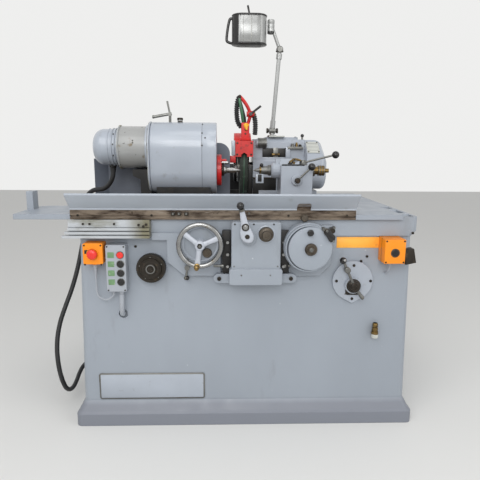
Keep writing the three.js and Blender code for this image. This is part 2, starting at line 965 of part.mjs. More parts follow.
function swarfGuard() {
  const front = -tableHalfDepth - seatGap;
  const profile = outline([
    [front, -guardLip / 2], [front - guardThickness, -guardLip / 2], [front - guardThickness, 0],
    [front - guardLean - guardThickness, guardRise],
    [front - guardLean - guardThickness, guardRise + guardTopFold],
    [front - guardLean, guardRise + guardTopFold], [front - guardLean, guardRise],
    [front, guardThickness],
  ]);
  const sheet = prismX(profile, -tableHalfLength, tableHalfLength);
  const arch = outline([
    [-guardArchHalfWidth, -guardLip], [guardArchHalfWidth, -guardLip],
    [guardArchHalfWidth, guardArchHeight * 0.7], [guardArchHalfWidth * 0.75, guardArchHeight],
    [-guardArchHalfWidth * 0.75, guardArchHeight], [-guardArchHalfWidth, guardArchHeight * 0.7],
  ]);
  const archCut = prismY(arch, front - guardLean - guardThickness - overrun, front + overrun);
  return cut(sheet, moved(archCut, archX, 0, 0));
}

function swivelKnob() {
  return turnedFront([
    [0, 0], [swivelKnobShankRadius, 0], [swivelKnobShankRadius, swivelKnobLength / 2],
    [swivelKnobRadius, swivelKnobLength / 2], [swivelKnobRadius, swivelKnobLength * 1.4],
    [swivelKnobRadius * 0.85, swivelKnobLength * 1.5], [0, swivelKnobLength * 1.5],
  ], 16);
}

const splashSetback = workAxisSetback + drumUpperRadius + splashGap;

// Upright sheet behind the workhead with a forward wing and a foot flange
function splashSheet() {
  const sheet = new THREE.Shape();
  sheet.moveTo(-splashLeft, 0);
  sheet.lineTo(splashRight, 0);
  sheet.lineTo(splashRight, splashHeight - splashCorner);
  sheet.absarc(splashRight - splashCorner, splashHeight - splashCorner, splashCorner, 0, Math.PI / 2);
  sheet.lineTo(-splashLeft, splashHeight);
  const wing = prismZ(outline([
    [-splashLeft, 0], [-splashLeft - splashWing, -splashWingLean],
    [-splashLeft - splashWing, splashThickness - splashWingLean], [-splashLeft, splashThickness],
    [overrun - splashLeft, splashThickness], [overrun - splashLeft, 0],
  ]), 0, splashHeight * splashWingShare);
  const back = tableHalfDepth + seatGap - splashSetback;
  const flange = block(-splashLeft, splashRight, back, overrun, 0, splashThickness);
  const strap = block(-splashLeft, splashRight, back, back + splashThickness, -splashStrap, splashThickness);
  return joined(prismY(sheet, 0, splashThickness, 0, 4), wing, flange, strap);
}

// Workhead, in a frame whose origin is on the swivel axis at the height of the spindle

const tableToAxis = workAxisZ - tableTop;
const workheadBaseHalfDepth = tableHalfDepth - workAxisSetback - workheadBaseInset;
const hoseTopX = -motorLeft - hoseGlandInset;

// Outline in Y and Z of two round ends joined by straight flanks
function drumOutline(inset) {
  const shape = new THREE.Shape();
  const upper = drumUpperRadius - inset;
  const lower = drumLowerRadius - inset;
  const lean = Math.asin((upper - lower) / drumUpperRise);
  shape.absarc(0, drumUpperRise, upper, -lean, Math.PI + lean, false);
  shape.absarc(0, 0, lower, Math.PI + lean, 2 * Math.PI - lean, false);
  return shape;
}

function spindleBore(from, to) {
  const bore = spindleRadius + spindleClearance;
  return turnedRight([[0, from], [bore, from], [bore, to], [0, to]], 18);
}

function workheadHousing() {
  const drum = prismX(drumOutline(0), -drumLeft, drumSeam, drumEdge, 8);
  const plug = turnedUp([[0, -overrun], [plugRadius, -overrun], [plugRadius, plugHeight], [0, plugHeight]], 12);
  const plugged = joined(drum, moved(plug, plugX, 0, drumUpperRise + drumUpperRadius));
  return cut(plugged, spindleBore(-spindleTail, drumSeam + overrun));
}

function workheadCover() {
  const groove = prismX(drumOutline(seamGroove), drumSeam + seatGap, drumSeam + 3 * seamGroove, 0, 8);
  const cover = prismX(drumOutline(0), drumSeam + 2 * seamGroove, drumRight, seamGroove, 8);
  return cut(joined(groove, cover), spindleBore(drumSeam - overrun, drumRight + overrun));
}

// Swivel base with the stepped foot under the motor
function workheadBase() {
  const drumRoom = prismX(drumOutline(-seatGap), -drumLeft - overrun, drumRight + overrun, 0, 8);
  const underDrum = block(
    -workheadBaseLength / 2, workheadBaseLength / 2,
    -workheadBaseHalfDepth, workheadBaseHalfDepth,
    seatGap - tableToAxis, workheadBaseHeight * 1.6 - tableToAxis,
  );
  const foot = prismY(outline([
    [-drumLeft - seatGap, footBottom], [-footRight - drumEdge, seatGap - tableToAxis],
    [-footStepX, seatGap - tableToAxis], [-footStepX - drumEdge, footBottom],
    [-footStepX - drumEdge, footStep - drumEdge * 2],
    [-footLeft, footStep], [-footLeft, footTop - drumEdge],
    [-drumLeft - seatGap, footTop - drumEdge],
  ]), -footHalfDepth, footHalfDepth);
  const plate = block(
    -footStepX, workheadBaseLength / 2,
    -footHalfDepth, footHalfDepth,
    seatGap - tableToAxis, workheadBaseHeight / 2 - tableToAxis,
  );
  return cut(joined(underDrum, plate, foot), drumRoom, motorClearance());
}

function motorClearance() {
  const clear = motorRadius + seatGap;
  const flange = drumUpperRadius - drumEdge + seatGap;
  const flangeStart = -drumLeft - drumBackFlange - seatGap;
  return moved(turnedRight([
    [0, -cowlLeft], [clear, -cowlLeft], [clear, flangeStart], [flange, flangeStart],
    [flange, 0], [0, 0],
  ], motorSides), 0, 0, drumUpperRise);
}

function workheadMotor() {
  const inner = motorRadius - drumEdge / 2;
  const profile = [
    [0, -motorLeft], [inner, -motorLeft], [motorRadius, drumEdge / 2 - motorLeft],
    [motorRadius, -drumLeft - drumBackFlange],
    [drumUpperRadius - drumEdge, -drumLeft - drumBackFlange],
    [drumUpperRadius - drumEdge, -drumLeft - seatGap], [0, -drumLeft - seatGap],
  ];
  return moved(turnedRight(profile, motorSides), 0, 0, drumUpperRise);
}

function motorFanCowl() {
  const profile = [[0, -cowlLeft]];
  const arcSteps = 4;
  for (let i = 0; i <= arcSteps; i += 1) {
    const angle = (i / arcSteps) * (Math.PI / 2);
    profile.push([
      cowlRadius - cowlRound + cowlRound * Math.sin(angle),
      cowlRound * (1 - Math.cos(angle)) - cowlLeft,
    ]);
  }
  const end = -motorLeft - seatGap;
  for (let i = 2; i > 0; i -= 1) {
    const at = end - i * cowlFlangePitch;
    profile.push(
      [cowlRadius, at], [cowlRadius + cowlFlangeRise, at],
      [cowlRadius + cowlFlangeRise, at + cowlFlangeWidth], [cowlRadius, at + cowlFlangeWidth],
    );
  }
  profile.push([cowlRadius, end], [0, end]);
  const cowl = moved(turnedRight(profile, motorSides), 0, 0, drumUpperRise);
  const hoseGland = moved(turnedUp([
    [0, -hoseGlandLength], [hoseGlandRadius * 0.8, -hoseGlandLength], [hoseGlandRadius, -hoseGlandLength / 2],
    [hoseGlandRadius, hoseGlandLength], [0, hoseGlandLength],
  ], 12), hoseTopX, 0, drumUpperRise + overrun - cowlRadius);
  return joined(cowl, hoseGland);
}

// Bent clamp crank on the top of the drum, in a frame on its own stem
function workheadCrank() {
  const elbow = [0, 0, crankStem];
  const bar = rod(
    [crankBarRadius, 0, crankStem + crankBarRadius / 2],
    [-crankBarLength, 0, crankStem - crankBarDrop],
    crankBarRadius,
  );
  const upright = rod(elbow, [-crankUprightLean, 0, crankStem + crankUprightHeight], crankRodRadius);
  return joined(rod([0, 0, seatGap], elbow, crankRodRadius * 1.4), bar, upright, ball(elbow, crankBarRadius));
}

function driverPlate() {
  const start = drumRight + 2 * seatGap;
  const plate = turnedRight([
    [spindleRadius * 0.6, start], [driverRadius - seamGroove, start],
    [driverRadius, start + seamGroove], [driverRadius, start + driverThickness - seamGroove],
    [driverRadius - seamGroove, start + driverThickness],
    [spindleRadius * 0.6, start + driverThickness], [spindleRadius * 0.6, start],
  ], 30);
  const pinPlace = driverRadius * driverPinPlaceShare;
  const pin = rod(
    [start + seamGroove, 0, pinPlace], [start + driverThickness + driverPinReach, 0, pinPlace],
    driverPinRadius,
  );
  return joined(plate, pin);
}

// Spindle shaft with its nose and the work centre in it
function workheadSpindle() {
  const noseStart = drumRight + seatGap;
  const bore = spindleRadius * 0.6 - seatGap;
  const end = noseStart + driverThickness + spindleNose;
  return turnedRight([
    [0, overrun - spindleTail], [spindleRadius, overrun - spindleTail], [spindleRadius, noseStart],
    [bore, noseStart], [bore, end], [centreRadius, end],
    [centreRadius, end + centreLength - centreTaper], [0, end + centreLength],
  ], 18);
}

// Tailstock, in a frame whose origin is on the work axis above the middle of its foot

function tailstockBody() {
  const bottom = seatGap - tableToAxis;
  const top = tailTop;
  const front = outline([
    [-tailHalfWidth - tailBottomFlare, bottom], [tailHalfWidth + tailBottomFlare, bottom],
    [tailHalfWidth, bottom + tailFootHeight], [tailHalfWidth, top], [-tailHalfWidth, top],
    [-tailHalfWidth, bottom + tailFootHeight],
  ]);
  const block1 = prismY(front, -tailHalfDepth, tailHalfDepth, seamGroove);
  const shelf = prismX(outline([
    [-tailHalfDepth / 2, top - overrun], [tailHalfDepth, top - overrun],
    [tailHalfDepth, top + tailShelfHeight], [0, top + tailShelfHeight],
  ]), -tailHalfWidth, tailShelfRight);
  const arm = turnedRight([
    [0, -tailHalfWidth - armLength], [armRadius - drumEdge, -tailHalfWidth - armLength],
    [armRadius, drumEdge - tailHalfWidth - armLength], [armRadius, 0], [0, 0],
  ], 18);
  const armBlock = block(
    -tailHalfWidth - armLength / 2, overrun - tailHalfWidth,
    -armRadius / 2, armRadius / 2,
    0, armRadius + armTopBlock,
  );
  const bore = turnedRight([
    [0, -tailHalfWidth - armLength - overrun],
    [quillRadius + quillClearance, -tailHalfWidth - armLength - overrun],
    [quillRadius + quillClearance, tailHalfWidth + overrun], [0, tailHalfWidth + overrun],
  ], 18);
  const hub = moved(turnedFront([
    [0, -overrun], [hubRadius, -overrun], [hubRadius, hubReach / 2], [0, hubReach / 2],
  ], 16), 0, -tailHalfDepth, -hubDrop);
  const solid = joined(block1, shelf, arm, armBlock, hub);
  return cut(solid, bore);
}

// Sliding quill with its centre, and the threaded cap on its tail
function tailstockQuill() {
  const tip = -quillTip;
  return turnedRight([
    [0, tip], [quillPointRadius, tip + centreTaper], [quillPointRadius, tip + centreTaper + overrun],
    [quillPointRadius * 1.5, tip + centreTaper + overrun], [quillRadius, tip + quillNose + centreTaper],
    [quillRadius, quillTail], [0, quillTail],
  ], 18);
}

function tailstockRearScrew() {
  const start = tailHalfWidth - overrun;
  return turnedRight([
    [0, start], [quillRadius - overrun, start], [quillRadius - overrun, tailHalfWidth + seatGap],
    [rearScrewRadius, tailHalfWidth + seatGap], [rearScrewRadius, tailHalfWidth + rearScrewLength * 0.3],
    [rearScrewRadius * 0.7, tailHalfWidth + rearScrewLength * 0.35],
    [rearScrewRadius * 0.7, tailHalfWidth + rearScrewLength * 0.55],
    [rearScrewRadius * 0.9, tailHalfWidth + rearScrewLength * 0.6],
    [rearScrewRadius * 0.9, tailHalfWidth + rearScrewLength],
    [rearScrewTipRadius, tailHalfWidth + rearScrewLength],
    [rearScrewTipRadius, tailHalfWidth + rearScrewLength + rearScrewTipLength],
    [0, tailHalfWidth + rearScrewLength + rearScrewTipLength],
  ], 16);
}

// Ball lever on the front hub, which draws the quill back
function tailstockQuillLever() {
  const hub = turnedFront([
    [0, seatGap], [hubRadius * 0.55, seatGap], [hubRadius * 0.55, hubReach], [0, hubReach],
  ], 12);
  const angle = Math.PI * leverAngleShare;
  const tip = [leverReach * Math.cos(angle), -hubReach, leverReach * Math.sin(angle)];
  return joined(hub, rod([0, -hubReach / 2, 0], tip, leverRodRadius), ball(tip, leverBallRadius));
}

// Long clamp lever on the top of the tailstock
function tailstockClampLever() {
  const hub = turnedUp([
    [0, seatGap], [clampHubRadius, seatGap], [clampHubRadius, clampHubHeight * 0.6],
    [clampHubRadius * 0.7, clampHubHeight], [0, clampHubHeight],
  ], 12);
  const tip = [clampReach, -tailHalfDepth * 0.6, clampHubHeight / 2 + clampRise];
  return joined(
    hub, rod([0, 0, clampHubHeight / 2], tip, leverRodRadius), ball(tip, leverBallRadius),
  );
}

// Wheelhead bed, fixed on the deck behind the table

const wheelheadBedFront = tableCentreY + tableHalfDepth + wheelheadBedGap - wheelheadY;

function wheelheadBed() {
  const wayHeight = wheelheadBedHeight / 3;
  const flat = block(
    wheelheadBedLeft, wheelheadBedRight, wheelheadBedFront, wheelheadBedBack,
    seatGap, wheelheadBedHeight - wayHeight,
  );
  const way = (x) => block(
    x, x + wayWidth, wheelheadBedFront, wheelheadBedBack,
    wheelheadBedHeight - wayHeight - overrun, wheelheadBedHeight,
  );
  return joined(flat, way(wheelheadBedLeft + slideInset), way(wheelheadBedRight - slideInset - wayWidth));
}

// Wheelhead, in a frame at its origin and the height of the work axis

const slideBottom = wheelheadBedHeight + seatGap - workAxisRise;
const slideTop = slideBottom + slideHeight;
const headMotorY = housingBack + headMotorRadius + headMotorGap;
const headMotorLength = housingRight - overrun - hoodRight - headMotorHoodGap;
const beltGuardRight = housingRight + 2 * beltGuardWall + pulleyWidth + beltGuardEndGap;
const beltGuardBack = headMotorY + pulleyRadius + beltGuardBackGap;
const beltGuardBottom = slideTop + beltGuardSlideGap;
const wheelShaftTail = beltGuardRight - wheelShaftEndGap;

function wheelShaftBore(from, to) {
  const bore = wheelShaftRadius + spindleClearance;
  return moved(turnedRight([[0, from], [bore, from], [bore, to], [0, to]], 18), 0, wheelY, 0);
}

function wheelheadHousing() {
  const side = outline([
    [housingFront, slideTop - overrun], [housingFront, housingNoseTop - housingBevel],
    [housingFront + housingBevel, housingNoseTop], [housingUpperFront, housingNoseTop],
    [housingUpperFront, housingTop - housingBevel], [housingUpperFront + housingBevel, housingTop],
    [housingBack - housingBevel, housingTop], [housingBack, housingTop - housingBevel],
    [housingBack, slideTop - overrun],
  ]);
  const slide = block(
    wheelheadBedLeft + slideInset, wheelheadBedRight - slideInset, slideFront, slideBack,
    slideBottom, slideTop,
  );
  const cap = prismZ(
    roundedOutline((capRight - capLeft) / 2, (housingBack - housingUpperFront) / 3, housingBevel),
    housingTop - overrun, housingTop + capHeight,
  );
  const middle = (housingLeft + housingRight) / 2;
  const windowCut = (x) => block(
    x, x + windowWidth, housingUpperFront - overrun, housingUpperFront + windowDepth,
    windowBottom, windowBottom + windowHeight,
  );
  const whole = joined(
    prismX(side, housingLeft, housingRight, 0),
    slide,
    moved(cap, (capLeft + capRight) / 2, (housingBack + housingUpperFront) / 2, 0),
  );
  return cut(
    whole,
    windowCut(middle - windowGap / 2 - windowWidth),
    windowCut(middle + windowGap / 2),
    wheelShaftBore(housingLeft - overrun, housingRight + overrun),
  );
}

// Belt guard: a round-nosed case open towards the housing
function beltGuard() {
  const side = (inset) => {
    const shape = new THREE.Shape();
    const round = beltGuardRound - inset;
    const [front, back] = [beltGuardFront + inset, beltGuardBack - inset];
    const [bottom, top] = [beltGuardBottom + inset, beltGuardTop - inset];
    shape.moveTo(back, bottom);
    shape.lineTo(back, top - beltGuardRound);
    shape.lineTo(back - beltGuardRound, top);
    shape.lineTo(front + beltGuardSlope, top);
    shape.lineTo(front, top - beltGuardSlope * 0.7);
    shape.lineTo(front, bottom + round);
    shape.absarc(front + round, bottom + round, round, Math.PI, 1.5 * Math.PI);
    shape.lineTo(back, bottom);
    return shape;
  };
  const start = housingRight + seatGap;
  const shell = prismX(side(0), start, beltGuardRight, beltGuardWall);
  const hollow = prismX(side(beltGuardWall * 1.5), start + beltGuardWall, beltGuardRight - beltGuardWall);
  const shaftHole = wheelShaftBore(start - overrun, start + beltGuardWall + overrun);
  const motorHole = moved(turnedRight([
    [0, -overrun], [wheelShaftRadius, -overrun],
    [wheelShaftRadius, beltGuardWall + overrun], [0, beltGuardWall + overrun],
  ], 16), start, headMotorY, headMotorZ);
  return cut(shell, hollow, shaftHole, motorHole);
}

// Grinding wheel and the spindle that carries it, turned about the wheel axis

function grindingWheel() {
  const half = wheelWidth / 2;
  const bore = wheelBore + seatGap;
  return turnedRight([
    [bore, -half], [wheelRadius, -half], [wheelRadius, half], [bore, half], [bore, -half],
  ], 40);
}

function wheelSpindle() {
  const half = wheelWidth / 2;
  const flangeLeft = -half - flangeThickness;
  const flangeRight = half + flangeThickness;
  const pulleyStart = housingRight + 2 * beltGuardWall;
  return turnedRight([
    [0, flangeLeft - flangeThickness], [wheelNutRadius, flangeLeft - flangeThickness],
    [wheelNutRadius, flangeLeft], [flangeRadius, flangeLeft], [flangeRadius, -half - seatGap],
    [wheelBore, -half - seatGap], [wheelBore, half + seatGap], [flangeRadius, half + seatGap],
    [flangeRadius, flangeRight], [wheelShaftRadius, flangeRight], [wheelShaftRadius, pulleyStart],
    [pulleyRadius, pulleyStart], [pulleyRadius * 0.9, pulleyStart + pulleyWidth / 2],
    [pulleyRadius, pulleyStart + pulleyWidth], [wheelShaftRadius, pulleyStart + pulleyWidth],
    [wheelShaftRadius, wheelShaftTail], [0, wheelShaftTail],
  ], 18);
}

// Drive motor behind the housing, standing on the slide
function wheelheadMotor() {
  const end = housingRight - overrun;
  const start = end - headMotorLength;
  const shaftEnd = housingRight + 2 * beltGuardWall + pulleyWidth;
  const shaft = wheelShaftRadius * 0.7;
  const profile = [
    [0, start], [headMotorRadius * 0.8, start], [headMotorRadius, start + drumEdge * 2],
    [headMotorRadius, end - drumEdge], [headMotorRadius * 0.9, end], [shaft, end],
    [shaft, housingRight + 2 * beltGuardWall], [pulleyRadius, housingRight + 2 * beltGuardWall],
    [pulleyRadius, shaftEnd], [0, shaftEnd],
  ];
  const foot = block(
    start + headMotorFoot, end - headMotorFoot,
    headMotorY - headMotorFoot, headMotorY + headMotorFoot,
    slideTop + seatGap, headMotorZ - headMotorRadius / 2,
  );
  return joined(moved(turnedRight(profile, 32), 0, headMotorY, headMotorZ), foot);
}

const redGuardInner = wheelRadius + redGuardGap;
const redGuardRadius = redGuardInner + redGuardSide;
const redGuardFront = wheelY - redGuardRadius + redNoseInset;

// Red hood over the wheel, with the notched nose block in front
function wheelGuard() {
  const hood = new THREE.Shape();
  const openAngle = Math.asin(redNoseTop / redGuardRadius);
  hood.moveTo(wheelY, 0);
  hood.absarc(wheelY, 0, redGuardRadius, -Math.PI / 6, Math.PI - openAngle);
  hood.lineTo(wheelY, 0);
  const wheelRoom = aboutWheelAxis(redGuardInner, hoodLeft + redGuardSide, hoodRight - redGuardSide, 40);
  const nose = block(
    redNoseLeft, redNoseRight, redGuardFront, redGuardFront + redNoseDepth,
    redNoseBottom, redNoseTop,
  );
  const noseMiddle = (redNoseLeft + redNoseRight) / 2;
  const notch = prismY(outline([
    [-redNoseNotch / 2, redNoseBottom - overrun], [redNoseNotch / 2, redNoseBottom - overrun],
    [redNoseNotch / 2, redNoseBottom + redNoseNotchRise / 2], [0, redNoseBottom + redNoseNotchRise],
    [-redNoseNotch / 2, redNoseBottom + redNoseNotchRise / 2],
  ]), redGuardFront - overrun, redGuardFront + redNoseDepth + overrun);
  const shaftSlot = aboutWheelAxis(flangeRadius + overrun, hoodLeft - overrun, hoodRight + overrun, 32);
  const link = block(
    hoodRight - redGuardSide, housingLeft - seatGap, wheelY - redNoseDepth,
    wheelY + redNoseDepth, housingTop - redNoseDepth, housingTop - housingBevel,
  );
  const whole = joined(prismX(hood, hoodLeft, hoodRight, 0, 16), nose, link);
  return cut(whole, wheelRoom, moved(notch, noseMiddle, 0, 0), shaftSlot);
}

function aboutWheelAxis(radius, from, to, segments) {
  const room = turnedRight([[0, from], [radius, from], [radius, to], [0, to]], segments);
  return moved(room, 0, wheelY, 0);
}

// Ribbed hose along a route: two rings for each rib
function ribbedTube(points, ribs) {
  const curve = curveThrough(points);
  const frames = curve.computeFrenetFrames(2 * ribs, false);
  const rings = [];
  for (let i = 0; i <= 2 * ribs; i += 1) {
    const middle = curve.getPointAt(i / (2 * ribs));
    const radius = i % 2 === 0 ? ribRootRadius : ribRadius;
    const ring = [];
    for (let side = 0; side < ribSides; side += 1) {
      const angle = (side / ribSides) * 2 * Math.PI;
      const across = frames.normals[i].clone().multiplyScalar(Math.cos(angle) * radius);
      const up = frames.binormals[i].clone().multiplyScalar(Math.sin(angle) * radius);
      ring.push(middle.clone().add(across).add(up));
    }
    rings.push(ring);
  }
  return skin(rings);
}

// The block stands round the foot of the pipe, and the valve sits on the pipe's third point
const [pipeFootX, coolantY, pipeFootZ] = coolantPipeRoute[0];
const coolantX = pipeFootX - coolantBlockOffset;
const coolantBlockTop = pipeFootZ + coolantBlockCap;
const [pipeX, valveY, valveZ] = coolantPipeRoute[2];
const valveX = pipeX + valveOffset;

// Coolant block on the hood with its pipe, valve, hoses and nozzle
function coolantPipe() {
  const blockSolid = block(
    coolantX - coolantBlockWidth / 2, coolantX + coolantBlockWidth / 2,
    coolantY - coolantBlockDepth / 2, coolantY + coolantBlockDepth / 2,
    0, coolantBlockTop,
  );
  const hoodSides = 40;
  const room = (redGuardRadius + seatGap) / Math.cos(Math.PI / hoodSides);
  const hoodRoom = aboutWheelAxis(room, hoodLeft - overrun, hoodRight + overrun, hoodSides);
  const noseRoom = block(
    redNoseLeft, redNoseRight, redGuardFront, redGuardFront + redNoseDepth + seatGap,
    0, redNoseTop + seatGap,
  );
  const valve = rod(
    [valveX - valveLength / 2, valveY, valveZ], [valveX + valveLength / 2, valveY, valveZ],
    valveRadius, valveRadius, 16,
  );
  const whole = joined(
    blockSolid,
    tube(coolantPipeRoute, coolantPipeRadius, 6, 10),
    tube(greenHoseRoute, coolantHoseRadius, 6, 8),
    tube(nozzleRoute, coolantHoseRadius, 6, 3),
    ribbedTube(leftHoseRoute, ribCount),
    ribbedTube(rightHoseRoute, Math.round(ribCount * rightRibShare)),
    valve,
  );
  return cut(whole, hoodRoom, noseRoom);
}

// Cranked lever that turns the coolant valve, in a frame on the face of the valve
function coolantValveLever() {
  const depth = -valveLeverGrip * 0.7;
  const collar = turnedFront([
    [0, 0], [valveLeverGrip, 0], [valveLeverGrip, valveLeverGrip * 1.4], [0, valveLeverGrip * 1.4],
  ], 14);
  const gripStart = [valveLeverX * 0.45, depth, valveLeverZ * 0.45];
  const shank = rod([0, depth, 0], [valveLeverX / 2, depth, valveLeverZ / 2], valveLeverRadius);
  const grip = rod(gripStart, [valveLeverX, depth, valveLeverZ], valveLeverGrip * 0.65);
  return joined(collar, shank, grip);
}

// Machine lamp

const lampKnuckleZ = housingTop + capHeight + lampBaseHeight + lampKnuckleRise;

function lampBase() {
  const foot = turnedUp([
    [0, seatGap - lampKnuckleRise - lampBaseHeight],
    [lampBaseRadius, seatGap - lampKnuckleRise - lampBaseHeight],
    [lampBaseRadius, -lampKnuckleRise], [lampNeckRadius, -lampKnuckleRise], [lampNeckRadius, 0], [0, 0],
  ], 18);
  const half = lampKnuckleWidth / 2;
  const knuckle = turnedRight([
    [0, -half], [lampKnuckleRadius, -half], [lampKnuckleRadius, half], [0, half],
  ], 18);
  const knob = (side) => rod(
    [side * (half - overrun), 0, 0], [side * (half + lampKnobLength), 0, 0],
    lampKnobRadius * 0.6, lampKnobRadius,
  );
  return joined(foot, knuckle, knob(-1), knob(1));
}

// Lower pole from the knuckle up to the elbow drum, which it carries
function lampPole() {
  const pole = rod([0, 0, 0], [lampPoleLean, 0, lampPoleLength], lampPoleRadius);
  const socket = rod([0, 0, 0], [lampPoleLean / 8, 0, lampPoleLength / 8], lampPoleRadius * 1.3);
  const knuckleRoom = turnedRight([
    [0, -lampKnuckleWidth], [lampKnuckleRadius + seatGap, -lampKnuckleWidth],
    [lampKnuckleRadius + seatGap, lampKnuckleWidth], [0, lampKnuckleWidth],
  ], 18);
  const drum = moved(
    turnedFront([
      [0, -lampElbowWidth / 2], [lampElbowRadius, -lampElbowWidth / 2],
      [lampElbowRadius, lampElbowWidth / 2], [0, lampElbowWidth / 2],
    ], 16),
    lampPoleLean, 0, lampPoleLength,
  );
  return joined(cut(joined(pole, socket), knuckleRoom), drum);
}

// Upper arm from the elbow to the head's joint
function lampArm() {
  const tip = [lampArmLeft, 0, lampArmRise];
  const elbowRoom = turnedFront([
    [0, -lampElbowWidth], [lampElbowRadius + seatGap, -lampElbowWidth],
    [lampElbowRadius + seatGap, lampElbowWidth], [0, lampElbowWidth],
  ], 16);
  const joint = moved(
    turnedRight([
      [0, -lampNeckRadius], [lampNeckRadius, -lampNeckRadius],
      [lampNeckRadius, lampNeckRadius], [0, lampNeckRadius],
    ], 16),
    ...tip,
  );
  return joined(cut(rod([0, 0, 0], tip, lampArmRadius), elbowRoom), joint);
}

// Lamp head, in a frame on its tilt axis at the end of the arm
function lampHead() {
  const right = -lampNeckRadius - seatGap;
  const boss = turnedRight([
    [0, right - lampHeadWall - overrun], [lampNeckRadius, right - lampHeadWall - overrun],
    [lampNeckRadius, right], [0, right],
  ], 16);
  const bodyRight = right - lampHeadWall;
  const bodyLeft = bodyRight - lampHeadWidth;
  const top = lampHeadTop;
  const bottom = lampHeadTop - lampHeadHeight;
  const side = outline([
    [-lampHeadDepth / 2, bottom], [lampHeadDepth / 2 - lampHeadTaper, bottom],
    [lampHeadDepth / 2, top - lampHeadTaper], [lampHeadDepth / 2 - lampHeadTaper, top],
    [-lampHeadDepth / 2, top],
  ]);
  const window = block(
    bodyLeft + lampHeadWall * 2, bodyRight - lampHeadWall * 2,
    -lampHeadDepth / 2 - overrun, lampHeadRecess - lampHeadDepth / 2,
    bottom + lampHeadWall * 2, top - lampHeadWall * 2,
  );
  const handleX = bodyLeft - lampHandleReach;
  const handleMiddle = (top + bottom) / 2 - lampHandleRadius;
  const [low, high] = [handleMiddle - lampHandleSpan / 2, handleMiddle + lampHandleSpan / 2];
  const inside = bodyLeft + overrun;
  const topKnob = turnedUp([
    [0, top - overrun], [lampKnobTopRadius, top - overrun],
    [lampKnobTopRadius, top + lampKnobTopHeight], [0, top + lampKnobTopHeight],
  ], 12);
  return joined(
    cut(prismX(side, bodyLeft, bodyRight, seamGroove), window),
    boss,
    rod([inside, 0, low], [handleX, 0, low], lampHandleRadius),
    rod([handleX, 0, low - lampHandleRadius], [handleX, 0, high + lampHandleRadius], lampHandleRadius),
    rod([handleX, 0, high], [inside, 0, high], lampHandleRadius),
    moved(topKnob, (bodyLeft + bodyRight) / 2, 0, 0),
  );
}

// Front panel pieces, in a frame at the top of the face of the base, with the operator towards -Y

const apronFront = -apronThickness;
const railBottom = railTop - railPlateHeight - overrun - (railBarCount - 1) * railBarPitch - railBarHeight;
const estopZ = railBottom - estopRailGap - estopHeight / 2;
const stationX = estopX + estopWidth / 2 + stationSideGap + stationWidth / 2;
const stationZ = railBottom - stationRailGap - stationHeight / 2;
const rightBoxZ = -lipHeight - rightBoxLipGap - rightBoxHeight / 2;
const feedDialX = stationX + stationWidth / 2 + feedDialGap + feedDialRadius;
const feedBossRadius = feedDialRadius - feedBossInset;
const apronLeft = railRight + apronRailGap;
const apronStepLeft = feedDialX + feedDialRadius + apronDialGap;
const handwheelZ = -handwheelBossRadius - handwheelTopGap;
const gearboxLugZ = gearboxBottom + gearboxLugRise;
const infeedX = gearboxRight + infeedGap + infeedRingRadius + infeedRingSetback;
const infeedZ = -infeedRingRadius - infeedTopGap;
const selectorX = apronRight + selectorGap + selectorFlangeRadius;
const selectorTail = selectorFlangeRadius + selectorTailReach;
const rightBoxX = selectorX + selectorFlangeRadius + rightBoxGap + rightBoxWidth / 2;

function apronPlate() {
  const plate = outline([
    [apronLeft, apronTop], [apronLeft, apronTop - apronStepHeight / 2],
    [apronStepLeft, apronTop - apronStepHeight / 2],
    [apronStepLeft, apronBottom + apronStepHeight], [apronFootLeft, apronBottom],
    [apronFootRight, apronBottom], [apronRight, apronBottom + apronStepHeight * 0.8],
    [apronRight, apronTop],
  ]);
  const behindLip = block(
    apronLeft - overrun, apronRight + overrun, -lipFrontOutset - seatGap, 0,
    -lipHeight - seatGap, 0,
  );
  const slot = (x) => block(
    x, x + apronSlotWidth, apronFront - overrun, 0, apronBottom + apronSlotInset, apronTop + overrun,
  );
  const wheelBoss = moved(turnedFront([
    [0, -overrun], [handwheelBossRadius, -overrun],
    [handwheelBossRadius, handwheelBossReach - handwheelBossStep],
    [handwheelBossRadius - handwheelBossStep, handwheelBossReach], [0, handwheelBossReach],
  ], 30), handwheelX, apronFront, handwheelZ);
  const body = cut(
    prismY(plate, apronFront, -seatGap),
    behindLip,
    slot(gearboxLeft - seatGap - apronSlotWidth),
    slot(gearboxRight + seatGap),
  );
  return joined(body, wheelBoss);
}

// Boss behind the feed dial, cast on the face of the base
function feedDialBoss() {
  return turnedFront([
    [0, -overrun], [feedBossRadius, -overrun], [feedBossRadius, feedBossReach - seatGap],
    [feedBossRadius - feedDialStep / 2, feedBossReach], [0, feedBossReach],
  ], 26);
}

function feedDial() {
  const start = feedBossReach + seatGap;
  return turnedFront([
    [0, start], [feedDialRadius - feedDialStep / 2, start], [feedDialRadius, start + feedDialStep / 2],
    [feedDialRadius, start + feedDialThickness - feedDialStep],
    [feedDialRadius - feedDialStep, start + feedDialThickness],
    [feedDialStepRadius, start + feedDialThickness],
    [feedDialStepRadius - feedDialStep / 2, start + feedDialThickness - feedDialStep / 2],
    [feedDialHubRadius, start + feedDialThickness - feedDialStep / 2],
    [feedDialHubRadius - feedDialStep / 2, start + feedDialThickness + feedDialHubReach],
    [0, start + feedDialThickness + feedDialHubReach],
  ], 26);
}

